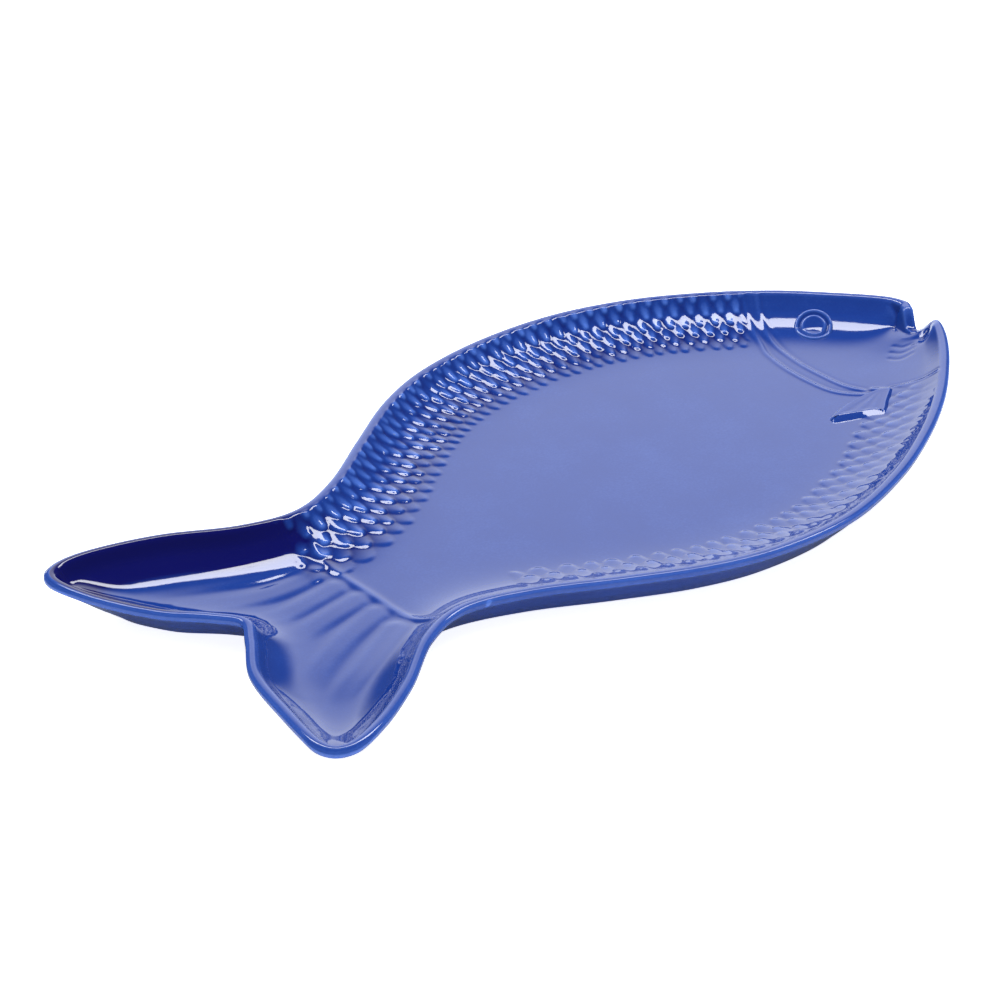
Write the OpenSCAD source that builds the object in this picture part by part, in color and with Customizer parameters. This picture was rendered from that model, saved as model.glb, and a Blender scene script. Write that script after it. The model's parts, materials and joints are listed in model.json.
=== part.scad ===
// Fish shaped serving platter in one glazed casting.
// Frame: +X towards the head, +Y the fish's back, +Z up. The foot stands at z = 0.
// The plan is one closed line, the middle of the rounded lip. Every ring of the
// platter, and the ground that all the relief stands on, is worked out from it.

/* [Plate] */
// Half the length of the lip's middle line, mm
half_length = 222.5; // [150:0.5:300]
// Half the width of the lip's middle line, mm
half_width = 111; // [75:0.5:150]
// Height of the lip above the table, mm
rim_height = 21; // [14:0.5:30]
// Height of the well floor above the table, mm
floor_height = 8; // [5:0.5:14]
// Half the thickness of the rounded lip, mm
lip_half = 2.9; // [1.5:0.1:4]
// How far inside the lip's middle line the sloping side runs out in the floor, mm
floor_inset = 30; // [22:0.5:36]
// The same for the tail, mm
tail_floor_inset = 22; // [16:0.5:26]
// How far inside the lip's middle line the body's base edge is, mm
base_inset = 12.6; // [8:0.1:20]
// How far inside the lip's middle line the tail's base edge is, mm
tail_base_inset = 14; // [8:0.1:20]
// Steepness of the inner wall near the lip
wall_power = 1.4; // [1:0.1:3]
// How far the lip dips at the mouth, mm
mouth_dip = 7; // [0:0.5:9]
// Radius of the dip round the mouth's corner, mm
mouth_dip_radius = 11.5; // [8:0.5:30]
// How fast the dip's radius grows down the inner wall
dip_spread = 1.2; // [0:0.1:2]

/* [Foot] */
// Height of the standing rings, mm
foot_height = 1.6; // [1:0.1:3]
// Width of the standing rings, mm
foot_width = 4; // [2:0.5:8]
// Gap from the base edge to the standing rings, mm
foot_gap = 5; // [3:0.5:10]

/* [Relief] */
// Height of the gill cords, the tail band, the rays and the wrinkles, mm
cord_height = 0.6; // [0.3:0.1:2]
// How far the raised lines are set off the ground, mm
seat_gap = 0.12; // [0:0.01:0.3]
// How far the tail's rays are set off the ground, mm
ray_gap = 0.3; // [0:0.01:0.8]
// Width of one gill cord, mm
gill_width = 3; // [2:0.1:6]
// Width of the tail band, mm
band_width = 5.6; // [3:0.1:9]
// Width of one tail ray at its widest, mm
ray_width = 8; // [3:0.1:12]
// Width of one mouth wrinkle, mm
wrinkle_width = 2.2; // [1:0.1:4]
// Height of the fin over the floor, mm
fin_height = 2.8; // [2:0.1:6]
// Radius of the eye's ring, mm
eye_radius = 9.3; // [6:0.1:12]
// Width of the eye's ring, mm
eye_ring_width = 2.3; // [1.5:0.1:4]
// Height of the eye's ring over its disc, mm
eye_height = 1.2; // [0.8:0.1:3]
// Tilt of the eye's disc towards the well, degrees
eye_tilt = 26; // [10:1:40]
// Height of the eye's disc over the ground at its middle, mm
eye_rise = 0.6; // [0:0.1:2]
// Pitch of the back's scales along the lip, mm
back_pitch = 7.9; // [5:0.1:12]
// Pitch of the belly's scales along the lip, mm
belly_pitch = 10.4; // [6:0.1:14]
// Height of the scales over the wall, mm
scale_height = 0.9; // [0.4:0.1:2]

/* [View] */
// Which sub-part to draw

/* [Hidden] */
glaze = [0.10, 0.20, 0.62];
clay = [0.86, 0.82, 0.76];
steps_per_span = 5;
// How far along the lip its direction is averaged before the walls lean in.
lean_window_share = 0.162;
lean_window = lean_window_share * half_length;
// Chord over arc at which the walls reach furthest in, at the sharp corners.
sharpest_bend = 0.85;
// Where the body's sizes start to change to the tail's, and where they have changed.
tail_start_share = -0.45;
tail_end_share = -0.674;
tail_start = tail_start_share * half_length;
tail_end = tail_end_share * half_length;

// The lip's middle line, as shares of the half length and the half width. It runs
// from the upper jaw along the back to the tail, and home along the belly.
outline_shares = [
    [1.000, -0.012], [0.984, 0.083], [0.921, 0.252], [0.836, 0.450], [0.719, 0.649],
    [0.575, 0.829], [0.404, 0.955], [0.216, 1.000], [0.036, 0.970], [-0.108, 0.874],
    [-0.252, 0.713], [-0.396, 0.546], [-0.518, 0.472], [-0.634, 0.536], [-0.760, 0.690],
    [-0.878, 0.782], [-0.955, 0.798], [-0.993, 0.730], [-0.977, 0.528], [-0.925, 0.296],
    [-0.866, 0.145], [-0.834, 0.030], [-0.868, -0.087], [-0.929, -0.257], [-0.962, -0.480],
    [-0.984, -0.712], [-0.955, -0.793], [-0.873, -0.765], [-0.762, -0.660], [-0.640, -0.501],
    [-0.526, -0.447], [-0.396, -0.542], [-0.252, -0.716], [-0.108, -0.876], [0.036, -0.974],
    [0.216, -1.006], [0.406, -0.931], [0.575, -0.803], [0.719, -0.653], [0.843, -0.483],
    [0.931, -0.335], [0.978, -0.222], [0.964, -0.180], [0.957, -0.146], [0.972, -0.098],
    [0.989, -0.055]
];
mouth_corner_share = [0.957, -0.146];
// Places on the lip where the scales start and stop, as numbers of control points.
scales_back_span = [3.55, 12.3];
scales_belly_span = [31.2, 38.6];

// The gill's two cords, as shares, from the lip on the back to the fin.
gill_rear_shares = [
    [0.772, 0.510], [0.757, 0.462], [0.738, 0.398], [0.710, 0.300], [0.683, 0.209],
    [0.661, 0.065], [0.652, -0.082], [0.655, -0.180], [0.666, -0.245]
];
gill_front_shares = [
    [0.799, 0.478], [0.783, 0.438], [0.760, 0.368], [0.735, 0.280], [0.717, 0.189],
    [0.700, 0.054], [0.693, -0.058], [0.690, -0.180], [0.698, -0.245]
];
// The stretch of the rear cord between the fin and the lip on the belly.
gill_belly_shares = [[0.757, -0.400], [0.774, -0.440], [0.789, -0.474], [0.800, -0.502]];
tail_band_shares = [
    [-0.547, 0.335], [-0.560, 0.250], [-0.571, 0.150], [-0.580, 0.020], [-0.583, -0.120],
    [-0.581, -0.235], [-0.572, -0.330]
];
// Each ray runs from the band to the far end of its lobe.
ray_shares = [
    [[-0.612, 0.300], [-0.690, 0.385], [-0.790, 0.485], [-0.870, 0.580]],
    [[-0.615, 0.185], [-0.690, 0.225], [-0.770, 0.285], [-0.840, 0.370]],
    [[-0.617, 0.055], [-0.690, 0.070], [-0.765, 0.100]],
    [[-0.617, -0.080], [-0.690, -0.095], [-0.765, -0.125]],
    [[-0.615, -0.195], [-0.700, -0.250], [-0.790, -0.330], [-0.860, -0.420]],
    [[-0.606, -0.290], [-0.690, -0.385], [-0.790, -0.500], [-0.870, -0.600]]
];
fin_shares = [
    [0.563, -0.349], [0.591, -0.331], [0.631, -0.320], [0.675, -0.320], [0.709, -0.330],
    [0.730, -0.351], [0.736, -0.373], [0.729, -0.391], [0.688, -0.437], [0.650, -0.484],
    [0.602, -0.424], [0.562, -0.373]
];
fin_middle_share = [0.650, -0.390];
eye_centre_share = [0.832, 0.205];
// The outline of the ring that the tail stands on.
tail_foot_shares = [
    [-0.600, 0.150], [-0.690, 0.370], [-0.780, 0.490], [-0.846, 0.550], [-0.858, 0.500],
    [-0.830, 0.370], [-0.785, 0.240], [-0.725, 0.035], [-0.775, -0.150], [-0.825, -0.300],
    [-0.860, -0.480], [-0.842, -0.530], [-0.770, -0.440], [-0.690, -0.330], [-0.600, -0.130]
];
wrinkle_shares = [
    [[0.889, -0.150], [0.893, -0.190], [0.914, -0.212]],
    [[0.866, -0.170], [0.873, -0.215], [0.898, -0.238]],
    [[0.844, -0.195], [0.852, -0.240], [0.878, -0.262]]
];
// A line down the middle of the well and of each lobe, beside the lip's control points
// from the upper jaw to the back neck, the back tip, the fork, the belly tip and home.
spine_stops = [0, 12, 17, 21, 26, 30, 46];
spine_shares = [
    [0.800, -0.020], [-0.500, 0.030], [-0.850, 0.520], [-0.690, 0.000], [-0.860, -0.560],
    [-0.500, -0.030], [0.800, -0.020]
];

// Plan helpers.
function at_share(p) = [p[0] * half_length, p[1] * half_width];
function wrap(i, n) = (i % n + n) % n;
function unit(v) = v / max(norm(v), lip_half / 1e6);
function mix(a, b, t) = a + (b - a) * t;
function spline(a, b, c, d, t) =
    b + (c - a) * t / 2 + (2 * a - 5 * b + 4 * c - d) * t * t / 2
    + (3 * b - a - 3 * c + d) * t * t * t / 2;

controls = [for (p = outline_shares) at_share(p)];
control_count = len(controls);
function control_at(u) =
    let (i = floor(u), t = u - i, n = control_count)
    spline(controls[wrap(i - 1, n)], controls[wrap(i, n)], controls[wrap(i + 1, n)],
           controls[wrap(i + 2, n)], t);

ring_count = control_count * steps_per_span;
lip_line = [for (i = [0 : ring_count - 1]) control_at(i / steps_per_span)];
lip_arcs = [for (i = 0, s = 0; i <= ring_count; s = s + norm(lip_line[wrap(i + 1, ring_count)]
            - lip_line[wrap(i, ring_count)]), i = i + 1) s];
lip_perimeter = lip_arcs[ring_count];
arc_to_u = [for (i = [0 : ring_count]) [lip_arcs[i], i / steps_per_span]];
u_to_arc = [for (i = [0 : ring_count]) [i / steps_per_span, lip_arcs[i]]];
function line_at(s) = control_at(lookup(s - floor(s / lip_perimeter) * lip_perimeter, arc_to_u));
function inward(a, b) = let (v = unit(b - a)) [-v[1], v[0]];
function soft(t) = let (u = max(0, min(1, t))) u * u * (3 - 2 * u);
lip_normals = [for (i = [0 : ring_count - 1])
    inward(lip_line[wrap(i - 1, ring_count)], lip_line[wrap(i + 1, ring_count)])];
function lean_at(s) =
    let (
        a = line_at(s - lean_window),
        b = line_at(s + lean_window),
        bend = norm(b - a) / (2 * lean_window)
    )
    inward(a, b) / max(bend, sharpest_bend);
lean_dirs = [for (i = [0 : ring_count - 1]) lean_at(lip_arcs[i])];
function ring_point(i, run) =
    lip_line[i] + lip_normals[i] * max(min(run, lip_half), -lip_half)
    + lean_dirs[i] * max(run - lip_half, 0);

function tail_part(x) = soft((tail_start - x) / (tail_start - tail_end));
function base_inset_at(x) = mix(base_inset, tail_base_inset, tail_part(x));
function floor_inset_at(x) = mix(floor_inset, tail_floor_inset, tail_part(x));

// The ground: height of the inner surface over any point of the plan.
function segment_distance(p, a, b) =
    let (v = b - a, t = max(0, min(1, (p - a) * v / (v * v)))) norm(p - a - v * t);
function lip_distance(p) = min([for (i = [0 : ring_count - 1])
    segment_distance(p, lip_line[i], lip_line[wrap(i + 1, ring_count)])]);
mouth_corner = at_share(mouth_corner_share);
function dip_at(p, run) =
    let (radius = mouth_dip_radius + dip_spread * run, u = min(norm(p - mouth_corner) / radius, 1))
    mouth_dip * pow(1 - u * u, 2);
function rim_at(p, run = 0) = rim_height - dip_at(p, run);
lip_shoulder = lip_half * 0.8;
function ground(p) =
    let (
        run = max(lip_distance(p) - lip_half, 0),
        s = min(run / (floor_inset_at(p[0]) - lip_half), 1)
    )
    floor_height + (rim_at(p, run) - lip_shoulder - floor_height) * pow(1 - s, wall_power);

// The casting.
// Rings of the outside and the lip: inset, and height as a share from base to rim.
outside_shares = [[1, 0], [0.62, 0.26], [0.18, 0.60], [-0.16, 0.82]];
lip_shares = [[-0.72, -0.32], [0, 0], [0.72, -0.30]];
inside_shares = [0.097, 0.15, 0.225, 0.305, 0.39, 0.475];
// From the last of those rings the surface closes in on the spine by these shares.
closing_shares = [0.045, 0.095, 0.15, 0.21, 0.3, 0.43, 0.6, 0.78, 0.93];

function raised(p, share) = foot_height + (rim_at(p) - foot_height) * share;
outside_rings = [for (r = outside_shares) [for (i = [0 : ring_count - 1])
    let (p = ring_point(i, r[0] > 0 ? r[0] * base_inset_at(lip_line[i][0]) : -lip_half))
    [p[0], p[1], raised(p, r[1])]]];
lip_rings = [for (r = lip_shares) [for (i = [0 : ring_count - 1])
    let (p = ring_point(i, r[0] * lip_half)) [p[0], p[1], rim_at(p) + r[1] * lip_half]]];
inside_rings = [for (r = inside_shares) [for (i = [0 : ring_count - 1])
    let (p = ring_point(i, r * floor_inset)) [p[0], p[1], ground(p)]]];
last_inside = len(inside_rings) - 1;
function spine_at(i) =
    let (
        u = i / steps_per_span,
        k = max([for (j = [0 : len(spine_stops) - 2]) if (spine_stops[j] <= u) j]),
        t = (u - spine_stops[k]) / (spine_stops[k + 1] - spine_stops[k])
    )
    at_share(mix(spine_shares[k], spine_shares[k + 1], t));
closing_rings = [for (r = closing_shares) [for (i = [0 : ring_count - 1])
    let (q = inside_rings[last_inside][i], p = mix([q[0], q[1]], spine_at(i), r))
    [p[0], p[1], ground(p)]]];
body_rings = concat(outside_rings, lip_rings, inside_rings, closing_rings);
body_points = [for (r = body_rings) each r];

// Two chains of the same ring are joined across by triangles, longest reach last.
function zip(a, b, i = 0, j = 0) =
    i == len(a) - 1 && j == len(b) - 1 ? [] :
    (j == len(b) - 1 || (i < len(a) - 1 && i * (len(b) - 1) <= j * (len(a) - 1)))
    ? concat([[a[i], a[i + 1], b[j]]], zip(a, b, i + 1, j))
    : concat([[a[i], b[j + 1], b[j]]], zip(a, b, i, j + 1));
function run_of(first, last, base) = [for (i = [first : last]) base + wrap(i, ring_count)];
function run_back(first, last, base) = [for (i = [last : -1 : first]) base + wrap(i, ring_count)];

// Control points where the inside is cut into simple stretches.
jaw_point = 0;
back_neck = 12;
back_tip = 17;
fork_point = 21;
belly_tip = 26;
belly_neck = 30;
function step_of(control) = control * steps_per_span;
function proper(t) = t[0] != t[1] && t[1] != t[2] && t[2] != t[0];
function cap(base) =
    let (
        body = zip(run_of(step_of(jaw_point), step_of(back_neck), base),
                   run_back(step_of(belly_neck), ring_count, base)),
        back = zip(run_of(step_of(back_neck), step_of(back_tip), base),
                   run_back(step_of(back_tip), step_of(fork_point), base)),
        belly = zip(run_of(step_of(fork_point), step_of(belly_tip), base),
                    run_back(step_of(belly_tip), step_of(belly_neck), base)),
        neck = [[base + step_of(back_neck), base + step_of(fork_point), base + step_of(belly_neck)]]
    )
    [for (t = concat(body, back, belly, neck)) if (proper(t)) t];
function flipped(faces) = [for (f = faces) [f[2], f[1], f[0]]];
function ring_band(k) = [for (i = [0 : ring_count - 1])
    let (j = wrap(i + 1, ring_count), a = k * ring_count, b = a + ring_count)
    each [[a + i, b + i, b + j], [a + i, b + j, a + j]]];
body_faces = concat(
    [for (k = [0 : len(body_rings) - 2]) each ring_band(k)],
    cap(0),
    flipped(cap((len(body_rings) - 1) * ring_count)));

module platter_body() {
    color(glaze) polyhedron(points = body_points, faces = body_faces, convexity = 10);
}

// The standing rings.
foot_inset = base_inset + foot_gap;
function plan_chain(first, last, run) = [for (i = [step_of(first) : step_of(last)])
    ring_point(wrap(i, ring_count), run)];

module standing_ring(plan) {
    linear_extrude(height = foot_height) difference() {
        polygon(plan);
        offset(delta = -foot_width) polygon(plan);
    }
}

module foot_ring() {
    color(clay) standing_ring(concat(
        plan_chain(1, back_neck - 1.6, foot_inset),
        plan_chain(belly_neck + 1.6, control_count - 5, foot_inset)));
}

module tail_foot() {
    color(clay) standing_ring([for (p = tail_foot_shares) at_share(p)]);
}

// Relief that follows the ground.
function on_ground(p, lift) = [p[0], p[1], ground(p) + lift];
// A raised strip: each station has five points over the ground, ends closed by fans.
strip_shares = [[-0.5, 0], [-0.28, 0.78], [0, 1], [0.28, 0.78], [0.5, 0]];
function path_at(path, u) =
    let (n = len(path) - 1, i = min(floor(u * n), n - 1), t = u * n - i)
    spline(path[max(i - 1, 0)], path[i], path[i + 1], path[min(i + 2, n)], t);
function strip_points(path, count, width, height, taper, gap) = [for (k = [0 : count])
    let (
        u = k / count,
        p = path_at(path, u),
        side = inward(path_at(path, max(u - 1 / count, 0)), path_at(path, min(u + 1 / count, 1))),
        w = width * (1 - taper * pow(2 * u - 1, 4))
    )
    each [for (s = strip_shares) on_ground(p + side * s[0] * w, gap + s[1] * height)]];
function strip_faces(count, base) =
    let (m = len(strip_shares))
    concat(
        [for (k = [0 : count - 1], j = [0 : m - 1])
            let (a = base + k * m, b = a + m, n = wrap(j + 1, m))
            each [[a + j, b + j, b + n], [a + j, b + n, a + n]]],
        [for (j = [1 : m - 2]) [base, base + j, base + j + 1]],
        [for (j = [1 : m - 2])
            [base + count * m, base + count * m + j + 1, base + count * m + j]]);

module strips(paths, count, width, height, taper, gap) {
    sets = [for (p = paths)
        strip_points([for (s = p) at_share(s)], count, width, height, taper, gap)];
    per = len(strip_shares) * (count + 1);
    polyhedron(
        points = [for (s = sets) each s],
        faces = [for (k = [0 : len(sets) - 1]) each strip_faces(count, k * per)],
        convexity = 6);
}

module gill_cords() {
    color(glaze) strips([gill_rear_shares, gill_front_shares, gill_belly_shares], 16,
        gill_width, cord_height, 0.25, seat_gap);
}

module tail_band() {
    color(glaze) strips([tail_band_shares], 14, band_width, cord_height, 0.3, seat_gap);
}

module tail_rays() {
    color(glaze) strips(ray_shares, 8, ray_width, cord_height, 0.5, ray_gap);
}

module mouth_wrinkles() {
    color(glaze) strips(wrinkle_shares, 6, wrinkle_width, cord_height, 0.4, seat_gap);
}

// The fin, whose sole follows the ground.
fin_plan = [for (p = fin_shares) at_share(p)];
fin_middle = at_share(fin_middle_share);
fin_levels = [[1, 0], [0.98, 0.8], [0.90, 1]];

module pectoral_fin() {
    n = len(fin_plan);
    rings = [for (level = fin_levels) each [for (p = fin_plan)
        let (q = mix(fin_middle, p, level[0]))
        level[1] == 0 ? on_ground(q, seat_gap)
        : [q[0], q[1], max(floor_height + fin_height * level[1], ground(q) + seat_gap * 2)]]];
    top = len(fin_levels) - 1;
    faces = concat(
        [for (k = [0 : top - 1], i = [0 : n - 1])
            let (j = wrap(i + 1, n), a = k * n, b = a + n)
            each [[a + i, b + i, b + j], [a + i, b + j, a + j]]],
        [for (i = [1 : n - 2]) [0, i, i + 1]],
        [for (i = [1 : n - 2]) [top * n, top * n + i + 1, top * n + i]]);
    color(glaze) polyhedron(points = rings, faces = faces, convexity = 4);
}

// The eye, on a disc that is tilted towards the well.
eye_steps = 32;
// The control point of the lip that the eye is beside.
eye_lip_point = 2;
eye_centre = at_share(eye_centre_share);
eye_arc = lookup(eye_lip_point, u_to_arc);
eye_outward = -inward(line_at(eye_arc - lean_window), line_at(eye_arc + lean_window));
eye_level = ground(eye_centre) + eye_rise;
function eye_disc(p) = eye_level + tan(eye_tilt) * ((p - eye_centre) * eye_outward);
// A lift of nothing lies on the ground; any other stands on the disc.
function eye_ring_points(radius, lift) = [for (i = [0 : eye_steps - 1])
    let (a = 360 * i / eye_steps, p = eye_centre + radius * [cos(a), sin(a)])
    lift == 0 ? on_ground(p, seat_gap) : [p[0], p[1], max(eye_disc(p), ground(p)) + lift]];
function turned_faces(rings) = [for (k = [0 : rings - 1], i = [0 : eye_steps - 1])
    let (j = wrap(i + 1, eye_steps), a = k * eye_steps, b = wrap(k + 1, rings) * eye_steps)
    each [[a + i, b + j, b + i], [a + i, a + j, b + j]]];

module eye_ring() {
    inner = eye_radius - eye_ring_width;
    rings = [
        [eye_radius, 0], [eye_radius - eye_ring_width * 0.22, 0.8],
        [eye_radius - eye_ring_width * 0.5, 1], [inner + eye_ring_width * 0.22, 0.8], [inner, 0]
    ];
    color(glaze) polyhedron(
        points = [for (r = rings) each eye_ring_points(r[0], r[1] * eye_height)],
        faces = turned_faces(len(rings)), convexity = 6);
}

module eye_pupil() {
    pupil = eye_radius - eye_ring_width * 1.5;
    rings = [[pupil, 0], [pupil * 0.92, 0.5], [pupil * 0.6, 1], [pupil * 0.25, 1.15]];
    last = len(rings) - 1;
    body = [for (k = [0 : last - 1], i = [0 : eye_steps - 1])
        let (j = wrap(i + 1, eye_steps), a = k * eye_steps, b = a + eye_steps)
        each [[a + i, b + j, b + i], [a + i, a + j, b + j]]];
    lid = [for (i = [1 : eye_steps - 2])
        [last * eye_steps, last * eye_steps + i, last * eye_steps + i + 1]];
    sole = [for (i = [1 : eye_steps - 2]) [0, i + 1, i]];
    color(glaze) polyhedron(
        points = [for (r = rings) each eye_ring_points(r[0], r[1] * eye_height)],
        faces = flipped(concat(body, lid, sole)), convexity = 6);
}

// The scales.
// Each scale is a pointed tile: its foot's four corners lie on the wall, its tip is raised.
scale_rows = 4;
scale_start = lip_half * 1.3;
scale_row_run = (floor_inset * 1.15 - scale_start) / scale_rows;
tile_share = 0.94;
function wall_point(s, run) =
    let (
        p = line_at(s),
        flat = inward(line_at(s - lean_window / 2), line_at(s + lean_window / 2))
    )
    p + flat * run;
function tile_points(s, run, pitch) =
    let (
        w = pitch * tile_share / 2,
        h = scale_row_run,
        up = wall_point(s, run),
        left = wall_point(s - w, run + h * 0.45),
        right = wall_point(s + w, run + h * 0.45),
        tip = wall_point(s, run + h * tile_share * 1.25),
        crest = wall_point(s, run + h * 0.75)
    )
    [on_ground(up, 0), on_ground(left, 0), on_ground(tip, 0), on_ground(right, 0),
     on_ground(crest, scale_height)];
tile_faces = [[0, 1, 4], [1, 2, 4], [2, 3, 4], [3, 0, 4], [0, 3, 2], [0, 2, 1]];

module scale_field(span, pitch) {
    first = lookup(span[0], u_to_arc);
    last = lookup(span[1], u_to_arc);
    count = floor((last - first) / pitch);
    tiles = [for (row = [0 : scale_rows - 2], k = [0 : count - 1])
        tile_points(first + (k + (row % 2) / 2) * pitch, scale_start + row * scale_row_run,
                    pitch)];
    polyhedron(
        points = [for (t = tiles) each t],
        faces = [for (k = [0 : len(tiles) - 1]) each [for (f = tile_faces) f + [5, 5, 5] * k]],
        convexity = 10);
}

module scales_back() {
    color(glaze) scale_field(scales_back_span, back_pitch);
}

module scales_belly() {
    color(glaze) scale_field(scales_belly_span, belly_pitch);
}

platter_body();
foot_ring();
tail_foot();
gill_cords();
tail_band();
tail_rays();
eye_ring();
eye_pupil();
pectoral_fin();
scales_back();
scales_belly();
mouth_wrinkles();
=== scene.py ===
"""Fish shaped serving platter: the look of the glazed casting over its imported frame.

The platter is one fired piece. Its glazed skin is worked out once as a dense surface,
cut along the natural lines of the relief, and each cut piece stands for its own node.
"""

import json
import logging
import math
from dataclasses import dataclass, field
from enum import Enum

import bpy
import numpy as np
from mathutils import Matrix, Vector, kdtree
from mathutils.geometry import delaunay_2d_cdt

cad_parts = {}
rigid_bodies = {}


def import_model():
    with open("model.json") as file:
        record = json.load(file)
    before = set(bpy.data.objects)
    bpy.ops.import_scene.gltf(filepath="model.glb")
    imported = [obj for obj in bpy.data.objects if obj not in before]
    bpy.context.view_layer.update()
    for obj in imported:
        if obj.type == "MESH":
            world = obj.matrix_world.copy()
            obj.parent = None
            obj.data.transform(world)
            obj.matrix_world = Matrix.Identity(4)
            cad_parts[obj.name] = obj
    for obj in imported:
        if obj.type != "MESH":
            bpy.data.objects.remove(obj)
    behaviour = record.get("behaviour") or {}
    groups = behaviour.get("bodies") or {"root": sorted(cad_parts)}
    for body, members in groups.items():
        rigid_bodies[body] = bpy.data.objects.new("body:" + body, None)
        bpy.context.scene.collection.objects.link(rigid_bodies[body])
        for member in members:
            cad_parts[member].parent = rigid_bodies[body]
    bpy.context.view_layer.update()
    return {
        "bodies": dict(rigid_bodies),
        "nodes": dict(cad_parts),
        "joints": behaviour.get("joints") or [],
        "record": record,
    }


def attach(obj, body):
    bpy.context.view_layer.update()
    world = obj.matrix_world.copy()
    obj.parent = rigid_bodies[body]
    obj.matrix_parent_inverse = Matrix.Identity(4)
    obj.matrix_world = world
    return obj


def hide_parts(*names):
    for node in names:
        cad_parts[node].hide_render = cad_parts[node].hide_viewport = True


log = logging.getLogger("platter")

# Metres in a millimetre.
MM = 0.001

# The lip's middle line as shares of its half length and half width, from the upper jaw
# along the back to the tail and home along the belly.
OUTLINE_SHARES = (
    (1.000, -0.012), (0.984, 0.083), (0.921, 0.252), (0.836, 0.450), (0.719, 0.649),
    (0.575, 0.829), (0.404, 0.955), (0.216, 1.000), (0.036, 0.970), (-0.108, 0.874),
    (-0.252, 0.713), (-0.396, 0.546), (-0.518, 0.472), (-0.634, 0.536), (-0.760, 0.690),
    (-0.878, 0.782), (-0.955, 0.798), (-0.993, 0.730), (-0.977, 0.528), (-0.925, 0.296),
    (-0.866, 0.145), (-0.834, 0.030), (-0.868, -0.087), (-0.929, -0.257), (-0.962, -0.480),
    (-0.984, -0.712), (-0.955, -0.793), (-0.873, -0.765), (-0.762, -0.660), (-0.640, -0.501),
    (-0.526, -0.447), (-0.396, -0.542), (-0.252, -0.716), (-0.108, -0.876), (0.036, -0.974),
    (0.216, -1.006), (0.406, -0.931), (0.575, -0.803), (0.719, -0.653), (0.843, -0.483),
    (0.931, -0.335), (0.978, -0.222), (0.964, -0.180), (0.957, -0.146), (0.972, -0.098),
    (0.989, -0.055),
)
MOUTH_CORNER_SHARE = (0.957, -0.146)
TAIL_HOLLOW_SHARE = (-0.840, -0.580)
EYE_SHARE = (0.832, 0.205)
GILL_REAR_SHARES = (
    (0.786, 0.540), (0.772, 0.510), (0.757, 0.462), (0.738, 0.398), (0.710, 0.300),
    (0.683, 0.209), (0.661, 0.065), (0.652, -0.082), (0.654, -0.192), (0.673, -0.271),
    (0.700, -0.330),
)
GILL_FRONT_SHARES = (
    (0.812, 0.508), (0.799, 0.478), (0.783, 0.438), (0.760, 0.368), (0.735, 0.280),
    (0.717, 0.189), (0.700, 0.054), (0.693, -0.058), (0.690, -0.188), (0.702, -0.287),
)
GILL_BELLY_SHARES = ((0.745, -0.375), (0.757, -0.400), (0.774, -0.440), (0.800, -0.502))
BAND_SHARES = (
    (-0.530, 0.400), (-0.547, 0.300), (-0.556, 0.152), (-0.560, -0.032), (-0.566, -0.164),
    (-0.568, -0.266), (-0.555, -0.400),
)
RAY_SHARES = (
    ((-0.603, 0.315), (-0.680, 0.375), (-0.755, 0.455), (-0.850, 0.560)),
    ((-0.595, 0.214), (-0.678, 0.230), (-0.745, 0.280), (-0.840, 0.390)),
    ((-0.595, 0.100), (-0.698, 0.089), (-0.760, 0.112)),
    ((-0.593, -0.020), (-0.695, -0.038), (-0.760, -0.060)),
    ((-0.598, -0.135), (-0.690, -0.180), (-0.790, -0.260), (-0.850, -0.350)),
    ((-0.610, -0.263), (-0.704, -0.345), (-0.817, -0.440), (-0.880, -0.560)),
)
FIN_SHARES = (
    (0.563, -0.349), (0.591, -0.331), (0.631, -0.320), (0.675, -0.320), (0.709, -0.330),
    (0.730, -0.351), (0.736, -0.373), (0.729, -0.391), (0.688, -0.437), (0.647, -0.486),
    (0.629, -0.450), (0.584, -0.396), (0.559, -0.368),
)
FIN_ROOT_SHARE = (0.735, -0.345)
WRINKLE_SHARES = (
    ((0.889, -0.150), (0.893, -0.190), (0.914, -0.212)),
    ((0.866, -0.170), (0.873, -0.215), (0.898, -0.238)),
    ((0.844, -0.195), (0.852, -0.240), (0.878, -0.262)),
)
# Control points of the lip between which the wall is scaled.
BACK_SPAN = (3.45, 12.45)
BELLY_SPAN = (31.0, 38.7)
# Between these control points the lip is the jaw's blunt end.
JAW_SPAN = (42.2, 0.7)
# The control point of the lip that the eye is beside.
EYE_LIP_POINT = 2
# Points drawn for each control point of a curve.
CURVE_STEPS = 12
# Lengths and areas below this count as none.
TINY = 1e-9
# Label of the skin's triangles outside the lip.
OUTSIDE = -1


class Part(Enum):
    """The cut pieces of the glazed skin, each with the node that it stands for."""

    BODY = "platter_body"
    BACK = "scales_back"
    BELLY = "scales_belly"
    GILLS = "gill_cords"
    BAND = "tail_band"
    RAYS = "tail_rays"
    MOUTH = "mouth_wrinkles"


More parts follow.
